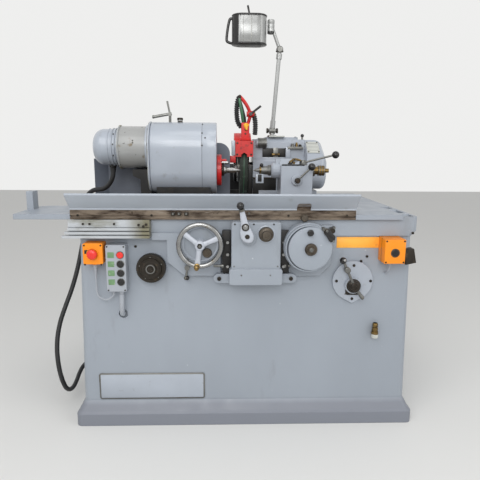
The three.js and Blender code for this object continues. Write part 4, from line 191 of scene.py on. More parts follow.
# Slot, colour, roughness, metal; then mottle, stains, range of roughness, bump, and a band on some
finishes = {
    "enamel": ("paint", (147, 154, 163), 0.42, 0, (0.05, 3.0, (1, 1, 0.4)),
        [((132, 136, 140), 7, 0.6, 0.78, (1, 1, 0.25)), ((186, 190, 196), 60, 0.68, 0.74)], (0.34, 0.55),
        (0.12, 90, 0.0006, 0.004), ("Z", 0.125, 0.095, (124, 128, 137), 0.012)),
    # A lighter copy of the enamel on the swarf guard: painted light, as the guard leans to face downward,
    # away from the lamps
    "guardLitEnamel": ("paint", (171, 178, 187), 0.42, 0, (0.05, 3.0, (1, 1, 0.4)),
        [((150, 155, 160), 12, 0.62, 0.76)], (0.34, 0.55), (0.12, 90, 0.0006, 0.004)),
    "cleanEnamel": ("paint", (160, 167, 177), 0.36, 0, (0.04, 9), [((140, 143, 146), 22, 0.62, 0.75)],
        (0.28, 0.45), (0.1, 110, 0.0005, 0.003)),
    "wornEnamel": ("paint", (158, 161, 162), 0.4, 0, (0.06, 8),
        [((132, 128, 104), 16, 0.52, 0.62), ((42, 36, 26), 38, 0.62, 0.66)], (0.25, 0.6),
        (0.25, 60, 0.0006, 0.003)),
    "motorEnamel": ("paint", (150, 151, 150), 0.4, 0, (0.05, 9),
        [((112, 100, 80), 18, 0.6, 0.7), ((34, 31, 28), 46, 0.66, 0.69)], (0.3, 0.5),
        (0.15, 90, 0.0005, 0.003)),
    "sheetEnamel": ("dark_paint", (98, 104, 115), 0.5, 0, (0.07, 4), [((88, 90, 92), 9, 0.58, 0.75)],
        (0.4, 0.6), (0.1, 120)),
    "tableIron": ("iron", (126, 113, 99), 0.4, 0.5, (0.2, 14, (0.4, 1, 3)),
        [((52, 38, 27), 20, 0.42, 0.62, (0.5, 1, 2)), ((150, 142, 130), 30, 0.64, 0.74, (0.3, 1, 2))],
        (0.25, 0.6, 30), (0.2, 200, 0.0004, 0.001)),
    "bedIron": ("iron", (92, 84, 76), 0.42, 0.5, (0.15, 20), [((44, 33, 24), 14, 0.5, 0.7)], (0.3, 0.55),
        (0.2, 180)),
    "turnedSteel": ("steel", (150, 150, 149), 0.26, 1.0, (0.1, 40), [((120, 110, 94), 26, 0.6, 0.75)],
        (0.16, 0.36, 60), (0.15, 600, 0.0002)),
    "dullSteel": ("steel", (118, 118, 115), 0.38, 0.85, (0.12, 24), [((86, 78, 62), 12, 0.56, 0.72)],
        (0.28, 0.5), (0.2, 300)),
    "railSteel": ("steel", (180, 184, 188), 0.42, 0.15, (0.07, 10, (0.3, 1, 2)),
        [((122, 120, 104), 12, 0.52, 0.68, (0.3, 1, 1))], (0.3, 0.5), (0.15, 200, 0.0004, 0.001),
        ("X", -0.52, -0.45, (120, 116, 96), 0.06)),
    "lampAlloy": ("aluminium", (158, 159, 158), 0.36, 0.6, (0.05, 12), [], (0.28, 0.42), (0.1, 300)),
    "brownKnob": ("dark_knob", (84, 76, 66), 0.4, 0.5, (0.25, 60), [((38, 32, 24), 30, 0.5, 0.68)],
        (0.3, 0.55), (0.3, 400, 0.0004)),
    "darkSteel": ("dark_knob", (46, 41, 35), 0.4, 0.55, (0.2, 50), [((84, 70, 52), 34, 0.58, 0.7)],
        (0.3, 0.55), (0.3, 300, 0.0004)),
    "blackPlastic": ("black_plastic", (28, 27, 27), 0.28, 0, (0.15, 20), [], (0.2, 0.34), (0.05, 300)),
    # Near-black oily iron; the same finish is also painted shade on the workhead base, in the slot and window
    # recesses, and on the dark panels by the wheel
    "oilyBlackAndPaintedShade": ("iron", (20, 19, 18), 0.38, 0.2, (0.3, 16), [((44, 35, 26), 10, 0.55, 0.7)], (0.3, 0.5),
        (0.2, 160)),
    "hoseRubber": ("rubber", (33, 33, 34), 0.55, 0, (0.15, 16), [], (0.45, 0.65), (0.2, 200, 0.0003)),
    "redEnamel": ("red_paint", (196, 34, 34), 0.32, 0, (0.1, 14), [((116, 22, 20), 26, 0.56, 0.68)],
        (0.25, 0.45), (0.12, 160, 0.0004, 0.002)),
    # The red hood turns near black below about 1.21 m: painted shade on its lower part
    "hoodEnamel": ("red_paint", (200, 34, 30), 0.4, 0, (0.12, 20), [((110, 26, 22), 22, 0.62, 0.74)],
        (0.3, 0.5), (0.2, 160, 0.0004, 0.002), ("Z", 1.24, 1.21, (30, 26, 24), 0.01)),
    "redPlastic": ("red_plastic", (224, 52, 44), 0.3, 0, (0.06, 30), [], (0.22, 0.34), (0.04, 300)),
    "amberPlastic": ("amber_plastic", (240, 140, 10), 0.4, 0, (0.05, 12),
        [((196, 112, 20), 30, 0.64, 0.76)], (0.34, 0.46), (0.1, 260, 0.0004, 0.002)),
    "amberFilm": ("amber_plastic", (250, 176, 64), 0.45, 0, (0.05, 20), [((214, 146, 70), 36, 0.6, 0.72)],
        (0.35, 0.55), (0.1, 200)),
    "greyPlastic": ("grey_plastic", (159, 164, 171), 0.42, 0, (0.04, 20),
        [((148, 150, 152), 40, 0.62, 0.75)], (0.36, 0.5), (0.08, 300, 0.0004, 0.0015)),
    "greenLabel": ("grey_plastic", (104, 138, 98), 0.5, 0, (0.08, 60), [((146, 168, 138), 90, 0.58, 0.66)],
        (0.4, 0.55), (0.05, 300)),
    "stone": ("abrasive", (52, 58, 52), 0.85, 0, (0.2, 40), [((92, 106, 96), 30, 0.56, 0.68)],
        (0.75, 0.95), (0.6, 700, 0.0005)),
    "greenHose": ("rubber", (58, 104, 74), 0.45, 0, (0.15, 30), [], (0.35, 0.5), (0.15, 300)),
    "yellowNozzle": ("amber_plastic", (238, 170, 30), 0.4, 0, (0.08, 40), [], (0.3, 0.45), (0.1, 300)),
    "oldBrass": ("brass", (128, 106, 66), 0.34, 0.9, (0.15, 40), [((58, 46, 32), 34, 0.52, 0.68)],
        (0.25, 0.45), (0.2, 300)),
    "paleLid": ("paint", (188, 190, 184), 0.45, 0, (0.05, 20), [((150, 148, 132), 24, 0.58, 0.72)],
        (0.35, 0.5), (0.1, 200)),
    "spokeEnamel": ("paint", (178, 183, 192), 0.34, 0, (0.05, 24), [((140, 140, 140), 50, 0.62, 0.74)],
        (0.25, 0.42), (0.1, 200)),
}
patternSkips = ("paleLid", "spokeEnamel")     # these two patterns lie one step further on
glossyCoat = {"Coat Weight": 0.6, "Coat Roughness": 0.12}

for number, (name, values) in enumerate(finishes.items(), 1):
    slot, base, rough, metal, mottle, stains, spread, relief, *bands = values
    finish = Finish(name, number + (name in patternSkips), slot, colour(*base), rough, metal)
    finish.mottle(*mottle)
    for stain in stains:
        finish.stains(*stain)
    for band in bands:
        finish.band(*band)
    finish.roughness(*spread)
    finish.bump(*relief)
    if name in ("cleanEnamel", "motorEnamel"):
        finish.setPlain(glossyCoat)
print("finishes", len(looks))

# Ways of making a piece; all sizes below are in millimetres

axisTurns = {
    "up": Matrix.Identity(3),
    "front": Matrix(((1, 0, 0), (0, 0, -1), (0, 1, 0))),
    "right": Matrix(((0, 0, 1), (0, 1, 0), (-1, 0, 0))),
    "left": Matrix(((0, 0, -1), (0, 1, 0), (1, 0, 0))),
}
down = (0, 0, -1)
mergeGap = 0.002        # points closer than this become one
knurl = 0.035           # depth of a knurl as a share of the radius


def turnOf(axis):
    if isinstance(axis, str):
        return axisTurns[axis]
    return Vector(axis).to_track_quat("Z", "Y").to_matrix()


def circle(count, start=0.0, sweep=2 * math.pi, both=False):
    # Angles round a circle or part of it; both takes in the last one too
    return [start + sweep * i / count for i in range(count + both)]


def quarter(count):
    return circle(count, 0.0, math.pi / 2, True)


def finishPiece(name, bm, body, look, angle=32):
    # Turns a mesh in millimetres into a piece; edges sharper than angle stay sharp
    bmesh.ops.remove_doubles(bm, verts=bm.verts, dist=mergeGap)
    bmesh.ops.recalc_face_normals(bm, faces=bm.faces)
    bmesh.ops.scale(bm, vec=(millimetre,) * 3, verts=bm.verts)
    mesh = bpy.data.meshes.new(name)
    bm.to_mesh(mesh)
    bm.free()
    mesh.shade_smooth()
    mesh.set_sharp_from_angle(angle=math.radians(angle))
    mesh.materials.append(looks[look])
    piece = bpy.data.objects.new(name, mesh)
    scene.collection.objects.link(piece)
    if body:
        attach(piece, body)
    return piece


def addRings(bm, rings, caps=True):
    # Joins rings of equally many points; a ring of one point closes to a tip
    made = [[bm.verts.new(p) for p in ring] for ring in rings]
    for near, far in zip(made, made[1:]):
        count = max(len(near), len(far))
        for i in range(count):
            j = (i + 1) % count
            corners = (near[i % len(near)], near[j % len(near)], far[j % len(far)], far[i % len(far)])
            unique = list(dict.fromkeys(corners))
            if len(unique) > 2:
                bm.faces.new(unique)
    if caps:
        for ring in (made[0], made[-1]):
            bm.faces.new(ring)


def loft(name, rings, body, look, angle=50, caps=True):
    bm = bmesh.new()
    addRings(bm, rings, caps)
    return finishPiece(name, bm, body, look, angle)


def turnedRings(outline, at, axis, segments):
    # One ring for each radius and height, with the depth of a knurl where there is one
    turn, rings = turnOf(axis), []
    for radius, height, *cut in outline:
        ring = []
        for i, a in enumerate(circle(segments)[:segments if radius else 1]):     # one point on the axis
            r = radius * (1 - (cut[0] if cut and i % 2 else 0))
            ring.append(turn @ Vector((r * math.cos(a), r * math.sin(a), height)) + Vector(at))
        rings.append(ring)
    return rings


def addTurned(bm, outline, at, axis, segments):
    # A closed outline makes a ring; any other is taken in to the axis at both ends
    if outline[0] != outline[-1]:
        (r0, low, *_), (r1, high, *_) = outline[0], outline[-1]
        outline = ([(0, low)] if r0 else []) + outline + ([(0, high)] if r1 else [])
    addRings(bm, turnedRings(outline, at, axis, segments), caps=False)


def turned(name, outline, at, axis, body, look, segments=48):
    bm = bmesh.new()
    addTurned(bm, outline, at, axis, segments)
    return finishPiece(name, bm, body, look)


def turnedSet(body, axis, rows):
    # Each row is a name, look, number of sides, place and outline
    for name, look, segments, at, outline in rows:
        turned(name, outline, at, axis, body, look, segments)


def ball(name, at, radius, body, look, steps=14):
    angles = [math.pi * i / steps for i in range(steps + 1)]
    outline = [(radius * math.sin(a) if 0 < a < math.pi else 0, -radius * math.cos(a)) for a in angles]
    return turned(name, outline, at, "up", body, look, 28)


def boxPiece(name, low, high, body, look, edge=1.5, tilt=None):
    # A box with bevelled edges; tilt is an axis, degrees and the point it turns about
    bm = bmesh.new()
    corners = bmesh.ops.create_cube(bm, size=1)["verts"]
    bmesh.ops.scale(bm, vec=Vector(high) - Vector(low), verts=corners)
    bmesh.ops.translate(bm, vec=(Vector(high) + Vector(low)) / 2, verts=corners)
    edges = list({e for v in corners for e in v.link_edges})
    bmesh.ops.bevel(bm, geom=edges, offset=edge, segments=2, profile=0.6, affect="EDGES")
    if tilt:
        axis, degrees, pivot = tilt
        turn = Matrix.Rotation(math.radians(degrees), 3, axis)
        bmesh.ops.rotate(bm, cent=pivot, matrix=turn, verts=bm.verts)
    return finishPiece(name, bm, body, look, 50)


def boxSet(body, rows):
    # Each row is a name, look, two corners and the bevel
    for name, look, low, high, edge in rows:
        boxPiece(name, low, high, body, look, edge)


def plate(name, corners, depth, axis, at, body, look, edge=1.0):
    # A flat outline with a bevelled rim, pushed out along its axis
    turn = turnOf(axis)
    middle = Vector((sum(c[0] for c in corners), sum(c[1] for c in corners), 0)) / len(corners)

    def drawnIn(height, amount):
        ring = []
        for x, y in corners:
            inward = (middle - Vector((x, y, 0))).normalized() * amount
            ring.append(turn @ (Vector((x, y, height)) + inward) + Vector(at))
        return ring
    steps = ((0, 0), (depth - edge, 0), (depth - edge * 0.3, edge * 0.3), (depth, edge))
    return loft(name, [drawnIn(*step) for step in steps], body, look)


def roundedCorners(width, height, radius, steps=5):
    corners = []
    for cx, cy, start in ((1, 1, 0), (-1, 1, 90), (-1, -1, 180), (1, -1, 270)):
        for i in range(steps + 1):
            a = math.radians(start + 90 * i / steps)
            corners.append((cx * (width / 2 - radius) + radius * math.cos(a),
                            cy * (height / 2 - radius) + radius * math.sin(a)))
    return corners


def smoothPath(points, perSpan=6):
    # Centripetal curve through the points
    points = [Vector(p) for p in points]
    points = [points[0] * 2 - points[1]] + points + [points[-1] * 2 - points[-2]]
    path = []
    for p0, p1, p2, p3 in zip(points, points[1:], points[2:], points[3:]):
        d1, d2, d3 = ((b - a).length ** 0.5 for a, b in ((p0, p1), (p1, p2), (p2, p3)))
        m1 = (p2 - p1) + d2 * ((p1 - p0) / d1 - (p2 - p0) / (d1 + d2))
        m2 = (p2 - p1) + d2 * ((p3 - p2) / d3 - (p3 - p1) / (d2 + d3))
        for i in range(perSpan):
            t = i / perSpan
            path.append(p1 * (2 * t**3 - 3 * t**2 + 1) + m1 * (t**3 - 2 * t**2 + t)
                        + p2 * (3 * t**2 - 2 * t**3) + m2 * (t**3 - t**2))
    return path + [points[-2]]


def tubeRings(path, radiusAt, sides=16):
    # Rings square to the path, without twist; radiusAt takes the share of the way
    rings = []
    normal = (path[1] - path[0]).orthogonal().normalized()
    for i, p in enumerate(path):
        ahead = (path[min(i + 1, len(path) - 1)] - path[max(i - 1, 0)]).normalized()
        normal = (normal - ahead * normal.dot(ahead)).normalized()
        across = ahead.cross(normal)
        r = radiusAt(i / (len(path) - 1))
        rings.append([p + (normal * math.cos(a) + across * math.sin(a)) * r for a in circle(sides)])
    return rings


def tubePiece(name, points, radius, body, look, sides=16, perSpan=6):
    return loft(name, tubeRings(smoothPath(points, perSpan), lambda share: radius, sides), body, look, 40)


def ribbedPiece(name, points, root, crest, ribs, body, look):
    # A ribbed hose: four rings to each rib, evenly spaced along the path
    path = smoothPath(points, 24)
    lengths = [0]
    for a, b in zip(path, path[1:]):
        lengths.append(lengths[-1] + (b - a).length)
    even, j, count = [], 0, ribs * 4
    for i in range(count + 1):
        goal = lengths[-1] * i / count
        while j < len(path) - 2 and lengths[j + 1] < goal:
            j += 1
        share = (goal - lengths[j]) / (lengths[j + 1] - lengths[j])
        even.append(path[j].lerp(path[j + 1], min(1, share)))
    rings = tubeRings(even, lambda share: root if round(share * count) % 4 in (0, 3) else crest)
    return loft(name, rings, body, look)


# Radius and height of each kind of head, as shares of the whole, and its number of sides
heads = {
    "hex": (6, ((1, 0.85), (0.86, 1))),
    "socket": (20, ((1, 0.9), (0.9, 1), (0.5, 1), (0.45, 0.45))),
    "slot": (16, ((1, 0.4), (0.8, 0.8), (0.4, 1))),
}


def bolts(name, places, radius, height, body="root", look="darkSteel", head="socket", axis="front"):
    # Several small fasteners in one mesh; each place is the seat of one head
    bm = bmesh.new()
    sides, shares = heads[head]
    outline = [(radius, -1)] + [(radius * r, height * h) for r, h in shares]
    for place in places:
        addTurned(bm, outline, place, axis, sides)
    return finishPiece(name, bm, body, look, 40)


def boltSet(body, rows):
    for name, places, radius, height, *rest in rows:
        bolts(name, places, radius, height, body, *rest)


def dress(node, look, angle=38):
    # Gives a CAD solid its finish and smooth shading over its round faces
    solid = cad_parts[node]
    solid.data.materials.clear()
    solid.data.materials.append(looks[look])
    solid.data.shade_smooth()
    solid.data.set_sharp_from_angle(angle=math.radians(angle))


# Finishes of the CAD solids

solidLooks = {
    "enamel": ["base_casting", "apron_plate", "left_way_cover", "right_way_cover", "gearbox_housing",
               "infeed_ring"],
    "guardLitEnamel": ["swarf_guard"],
    "cleanEnamel": ["workhead_housing", "workhead_front_cover", "motor_fan_cowl", "tailstock_body",
                    "wheelhead_housing", "selector_flange", "belt_guard"],
    "wornEnamel": ["workhead_motor", "wheelhead_motor"],
    "sheetEnamel": ["splash_sheet"],
    "tableIron": ["lower_table", "upper_table"],
    "bedIron": ["wheelhead_bed"],
    # The workhead base is near black: painted shade under the drum
    "oilyBlackAndPaintedShade": ["workhead_base"],
    "railSteel": ["trip_rail"],
    "turnedSteel": ["workhead_spindle", "wheel_spindle"],
    "dullSteel": ["workhead_crank", "tailstock_quill", "tailstock_quill_lever", "tailstock_clamp_lever",
                  "speed_lever", "selector_lever"],
    "oldBrass": ["tailstock_rear_screw", "oil_valve"],
    "darkSteel": ["index_lever", "feed_dial"],
    "brownKnob": ["swivel_knob", "gearbox_knob"],
    "spokeEnamel": ["reversing_lever", "table_handwheel", "infeed_handwheel"],
    "redEnamel": ["driver_plate", "coolant_pipe"],
    "hoodEnamel": ["wheel_guard"],
    "stone": ["grinding_wheel"],
    "lampAlloy": ["lamp_base", "lamp_pole", "lamp_arm", "lamp_head"],
    "hoseRubber": ["motor_cable"],
    "amberPlastic": ["estop_box", "right_control_box"],
    "greyPlastic": ["button_station", "estop_cable", "station_conduit"],
    "redPlastic": ["button_1", "estop_mushroom"],
    "blackPlastic": ["button_2", "button_3", "button_4", "right_button", "coolant_valve_lever"],
}
for look, nodes in solidLooks.items():
    for node in nodes:
        dress(node, look)

# Cords first: the work motor's hose, then the two short ones at the boxes

# Where the hose starts to leave the table, and from where it stays at the base, in metres
hose = {"diameter": 22, "bendStart": (-0.634, -0.33, 1.19), "bendEnd": (-0.634, -0.33, 1.088)}
hoseRoute = [
    (-634, -330, 1196.7), (-634, -330, 1186), (-638.1, -327.9, 1156.6), (-650.2, -321.8, 1130.2),
    (-669, -312.3, 1109.1), (-692.6, -300.4, 1095.6), (-718.8, -287.1, 1091), (-745, -273.8, 1086.4),
    (-768.6, -261.9, 1072.9), (-787.4, -252.4, 1051.8), (-799.4, -246.3, 1025.4), (-803.6, -244.2, 996),
    (-804, -244.5, 966), (-806, -245.5, 930), (-810, -248, 890), (-814, -252, 850), (-823, -266, 795),
    (-833, -288, 730), (-847, -313, 660), (-866, -337, 590), (-890, -359, 520), (-911, -382, 452),
    (-922, -404, 386), (-924, -422, 320), (-919, -434, 255), (-911, -436, 195), (-904, -424, 142),
    (-899, -398, 98), (-895, -356, 69), (-893, -306, 60), (-892, -256, 68), (-891, -206, 86),
    (-883, -165, 104), (-863, -135, 119), (-839, -117.5, 129.5), (-812, -108, 136.5), (-796, -106, 139.6),
    (-782.9, -106, 140),
]
estopRoute = [
    (-672, -584, 777.2), (-672, -584, 747), (-672, -583, 712), (-672, -582, 679), (-670.5, -581, 654),
    (-662, -581, 635.5), (-648.5, -581, 626), (-634, -581.5, 623), (-619.5, -582, 626), (-607, -583, 634),
    (-599, -585, 645), (-596.3, -585.8, 656), (-596, -586, 667.4),
]
conduitRoute = [
    (-560, -590, 651.7), (-560, -590, 632), (-561, -589, 605), (-563, -582, 575),
    (-565, -567, 551), (-565, -554, 545.5), (-565, -540, 545),
]


def cordPiece(name, route, diameter, look, body, node, bend=None):
    path = smoothPath(route, 4)
    piece = loft(name, tubeRings(path, lambda share: diameter / 2), None if bend else body, look, 40)
    if bend:
        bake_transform(piece)
    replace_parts(piece, node)


# The hose runs from the table down to the base, laid as one fixed piece attached to no body
cordPiece("motorHose", hoseRoute, hose["diameter"], "hoseRubber", "table", "motor_cable",
          (hose["bendStart"], hose["bendEnd"]))
cordPiece("estopLead", estopRoute, 7, "greyPlastic", "root", "estop_cable")
conduit = tubePiece("stationConduit", conduitRoute, 11, "root", "greyPlastic")
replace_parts(conduit, "station_conduit")
# Tapered reliefs where the cords leave a housing
turnedSet("workhead", "up", [
    ("hoseRelief", "hoseRubber", 28, (-634, -330, 1213),
     [(11.3, -36), (12.2, -36), (14, -16), (16.8, -8), (16.8, -1), (11.3, -1), (11.3, -36)])])
turnedSet("root", "left", [
    ("hoseBaseRelief", "hoseRubber", 28, (-782.2, -106, 140),
     [(11.3, 0), (18, 0), (18, 6), (14, 14), (12.2, 34), (11.3, 34), (11.3, 0)])])
turnedSet("root", down, [
    ("estopRelief", "greyPlastic", 28, (-672, -584, 768),
     [(3.6, 0), (7.6, 0), (7.6, 3), (4.4, 26), (3.6, 26), (3.6, 0)]),
    ("stationRelief", "greyPlastic", 28, (-596, -586, 667),
     [(3.6, 0), (7, 0), (7, 3), (4.4, 21), (3.6, 21), (3.6, 0)])])
print("cords laid")

# Base: blank name plate, amber strip, screws

basePlates = {
    "namePlate": {"x": (-690, -194), "z": (121, 252), "depth": 3.5, "radius": 12},
    "amberStrip": {"x": (405, 599), "z": (854, 904), "depth": 0.8, "radius": 2},
    "front": -550.3,
}


def frontPlate(name, v, look, inset=0, lift=0.0, depth=None):
    (x0, x1), (z0, z1) = v["x"], v["z"]
    corners = roundedCorners(x1 - x0 - 2 * inset, z1 - z0 - 2 * inset, max(1, v["radius"] - inset))
    at = ((x0 + x1) / 2, basePlates["front"] - lift, (z0 + z1) / 2)
    plate(name, corners, depth or v["depth"], "front", at, "root", look, 0.4)


frontPlate("namePlateRim", basePlates["namePlate"], "dullSteel")
frontPlate("namePlateField", basePlates["namePlate"], "cleanEnamel", 7, 2.0, 2.6)
frontPlate("amberStrip", basePlates["amberStrip"], "amberFilm")
boltSet("root", [
    ("frontScrews", [(-499, -550, 860), (547, -550, 814), (737, -583, 928)], 6, 3),
    ("railScrews", [(x, -620, 972) for x in (-706, -678, -574)], 5, 2.5),
    ("railClampScrews", [(-470, -620, 968), (-450, -620, 962), (-438, -620, 970)], 6, 5, "darkSteel", "hex")])

# Table front: reversing dogs in their slot and an end pin

dogs = {"front": -578, "z": 1012, "places": (-326, -300, -268), "pin": (6, -578, 1014)}
for index, x in enumerate(dogs["places"]):
    low, high = (x - 9, dogs["front"] - 9, dogs["z"] - 9), (x + 9, dogs["front"] + 6, dogs["z"] + 7)
    boxPiece(f"tripDog{index}", low, high, "table", "darkSteel", 2)
dogScrews = [(x, dogs["front"] - 9, dogs["z"]) for x in dogs["places"]]
bolts("dogScrews", dogScrews, 5, 5, "table", "dullSteel", "hex")
bolts("tablePin", [dogs["pin"]], 5, 9, "upper_table", "dullSteel")
bolts("tableEndScrews", [(x, -575, 1004) for x in (-740, -420, 180, 440)], 5, 3, "table")

# Table handwheel

handwheel = {
    "centre": (-207, -616.3, 884),
    "rimRadius": 90.5, "rimRadial": 10.5, "rimAxial": 10, "rimReach": 34,
    "hubRadius": 21, "spokes": (-98, 22, 142), "spokeWidth": 27, "spokeDish": 8, "spokeHalfDepth": 6,
}


def buildHandwheel(v):
    cx, cy, cz = centre = v["centre"]
    section = [(math.cos(a) * v["rimRadial"], math.sin(a) * v["rimAxial"]) for a in circle(20)]
    rings = [[(cx + (v["rimRadius"] + r) * math.cos(a), cy - v["rimReach"] - h,
               cz + (v["rimRadius"] + r) * math.sin(a)) for r, h in section] for a in circle(72)]
    rim = loft("handwheelRim", rings + [rings[0]], "handwheel", "turnedSteel", 32, caps=False)
    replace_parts(rim, "table_handwheel")
    bm = bmesh.new()
    for degrees in v["spokes"]:
        a = math.radians(degrees)
        out, side = Vector((math.cos(a), 0, math.sin(a))), Vector((-math.sin(a), 0, math.cos(a)))
        rings = []
        for share in (0.0, 0.2, 0.4, 0.6, 0.8, 1.0):
            y = cy - v["rimReach"] - v["spokeDish"] * (1 - share) ** 2
            middle = Vector((cx, y, cz)) + out * (share * (v["rimRadius"] - 3))
            width = v["spokeWidth"] * (0.52 - 0.14 * math.sin(math.pi * share))     # waisted halfway
            deep = v["spokeHalfDepth"]
            rings.append([middle + side * width * math.cos(t) + Vector((0, deep * math.sin(t), 0))
                          for t in circle(16)])
        addRings(bm, rings)
    finishPiece("handwheelSpokes", bm, "handwheel", "spokeEnamel", 60)
    hub = v["hubRadius"]
    a = math.radians(v["spokes"][0])
    knobAt = (cx + v["rimRadius"] * math.cos(a), cy - 40, cz + v["rimRadius"] * math.sin(a))
    turnedSet("handwheel", "front", [
        ("handwheelHub", "spokeEnamel", 48, centre,
         [(hub + 3, 0.3), (hub + 2, 22), (hub, 44), (hub - 4, 49), (12, 50), (12, 46)]),
        ("handwheelNut", "darkSteel", 6, centre, [(11, 44), (11, 51), (9, 53)]),
        ("handwheelShaftEnd", "dullSteel", 24, centre, [(5.5, 44), (5.5, 57), (4.5, 58)]),
        ("handwheelCrankKnob", "oldBrass", 32, knobAt,
         [(13, 0), (13, 6), (8, 8), (7, 14), (9, 22), (11, 34), (10, 41), (5, 43.5), (0, 43.7)])])


buildHandwheel(handwheel)

# Dials and knobs around the table handwheel

turnedSet("root", "front", [
    ("bossRing", "cleanEnamel", 64, (-207, -615.9, 884),
     [(70, 0), (79, 0), (79, 2.2), (77, 3.5), (72, 3.5), (70, 2.2), (70, 0)]),
    ("bossKnobRight", "brownKnob", 40, (-177, -616, 846),
     [(21, -2, knurl), (21, 9, knurl), (18, 12), (12, 12), (11, 10)]),
    ("bossKnobLeft", "brownKnob", 36, (-256, -572, 818),
     [(13, -2, knurl), (13, 9, knurl), (10, 12), (5, 12), (4, 10)])])
ball("speedLeverKnob", (-268, -586, 723.5), 10.6, "speed_lever", "blackPlastic")

feedDial = {
    "centre": (-427, -568.3, 769),
    "face": [(64.5, 0), (66, 1.5, knurl), (66, 9, knurl), (63, 11), (63, 13), (66, 15, knurl),
             (66, 27, knurl), (63.5, 30), (56, 30), (54, 28.5), (50, 28.5), (48, 30.5), (46, 36),
             (42, 36), (40, 34), (27, 34), (25, 36), (24, 41), (21, 42), (17, 42), (16, 39), (10, 39),
             (9, 42)],
    "pins": (0.4, 1.6, 2.9, 4.2, 5.4), "pinCircle": 51,
}
dialFace = turned("feedDialFace", feedDial["face"], feedDial["centre"], "front", "feed_dial", "darkSteel", 96)
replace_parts(dialFace, "feed_dial")
turned("feedDialRing", [(16.2, 38), (20.6, 38), (20.6, 42.3), (16.2, 42.3), (16.2, 38)], feedDial["centre"],
       "front", "feed_dial", "dullSteel", 40)
r = feedDial["pinCircle"]
feedDialPins = [(-427 + r * math.cos(a), -597, 769 + r * math.sin(a)) for a in feedDial["pins"]]
bolts("feedDialPins", feedDialPins, 2.6, 1.6, "feed_dial", "dullSteel", "hex")
print("left controls made")

# Reversing gearbox

gearbox = {"screwX": (-57, 24, 110), "slotX": (-88, 158), "slotZ": (890, 836, 782)}
boltSet("root", [
    ("gearboxScrews", [(x, -640, 975) for x in gearbox["screwX"]], 4, 1.5),
    ("gearboxCornerScrews", [(-60, -640, 790), (130, -640, 790), (-28, -649, 752), (98, -649, 752)],
     3.5, 1, "dullSteel"),
    ("slotBolts", [(x, -606, z) for x in gearbox["slotX"] for z in gearbox["slotZ"]],
     8, 9, "turnedSteel", "hex"),
    ("lugBolts", [(-125, -598.5, 724), (195, -598.5, 724)], 9, 7)])
# Near-black backs in the two slots: oil, and painted shade in the recesses
boxSet("root", [
    ("slotBackLeft", "oilyBlackAndPaintedShade", (-112, -604, 752), (-73, -574, 942), 3),
    ("slotBackRight", "oilyBlackAndPaintedShade", (143, -604, 752), (182, -574, 942), 3)])
for side, x0, x1 in (("Left", -150, -72), ("Right", 142, 190)):
    x = (x0 + x1) / 2
    tubePiece(f"slotRod{side}", [(end, -597, 782) for end in (x0, x, x1)], 6, "root", "dullSteel", 20)
    turned(f"slotCollar{side}", [(6, 0), (10, 0), (10, 9), (6, 9), (6, 0)], (x - 4, -597, 782), "right",
           "root", "dullSteel", 24)

reversing = {"hub": (3, -648.3, 915), "pivot": (-14, -648.3, 970), "tip": (-36, -698, 1061),
             "ballRadius": 15.9, "lean": 0.21, "leanFrom": 929, "reach": 0.125, "reachFrom": 960}
ball("reversingBall", reversing["tip"], reversing["ballRadius"], "reversing_lever", "blackPlastic")
# Height, half width and half depth of the lever from its round boss up to the ball
reversingSlices = ((901, 3, 2), (904, 13, 6), (910, 20, 8), (918, 25.5, 9), (929, 28, 9.5), (945, 27, 9.5),
                   (960, 22.5, 9), (975, 17.5, 9), (992, 15, 8.5), (1040, 10, 8))
rings = []
for z, wide, deep in reversingSlices:
    x = -6 - reversing["lean"] * (z - reversing["leanFrom"])
    y = -682 - reversing["reach"] * max(0, z - reversing["reachFrom"])
    rings.append([(x + wide * math.cos(t), y - deep * math.sin(t), z) for t in circle(28)])
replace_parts(loft("reversingArm", rings, "reversing_lever", "spokeEnamel"), "reversing_lever")
turnedSet("reversing_lever", "front", [
    ("reversingShaft", "dullSteel", 40, reversing["hub"], [(14, 0.3), (14, 28)]),
    ("reversingScrew", "darkSteel", 24, (-6, -648.3, 930), [(10, 41), (10, 45), (7, 48)]),
    ("reversingPivotRing", "darkSteel", 32, reversing["pivot"], [(16, 41), (16, 46)]),
    ("reversingPivot", "turnedSteel", 28, reversing["pivot"], [(11, 45), (11, 50), (7, 54), (0, 55)])])
collarRings = turnedRings([(9.5, 0), (12.5, 0), (12.5, 9), (9, 9), (9, 0)], (-29, -692, 1038),
                          (-0.26, -0.15, 0.95), 28)
loft("reversingCollar", collarRings, "reversing_lever", "dullSteel", 32)

gearKnob = {
    "centre": (77, -640.3, 932),
    "face": [(30, 0), (32, 2, knurl), (32, 12, knurl), (30, 14), (21, 14.5), (19, 16, knurl), (19, 33, knurl),
             (17, 36), (9, 36), (8, 34)],
}
knob = turned("gearboxKnobFace", gearKnob["face"], gearKnob["centre"], "front",
              "gearbox_knob", "brownKnob", 72)
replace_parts(knob, "gearbox_knob")
turned("gearboxKnobRing", [(33, -0.2), (38, -0.2), (38, 1.5), (36, 2.5), (33, 2.5), (33, -0.2)],
       gearKnob["centre"], "front", "root", "cleanEnamel", 56)

# Infeed wheel

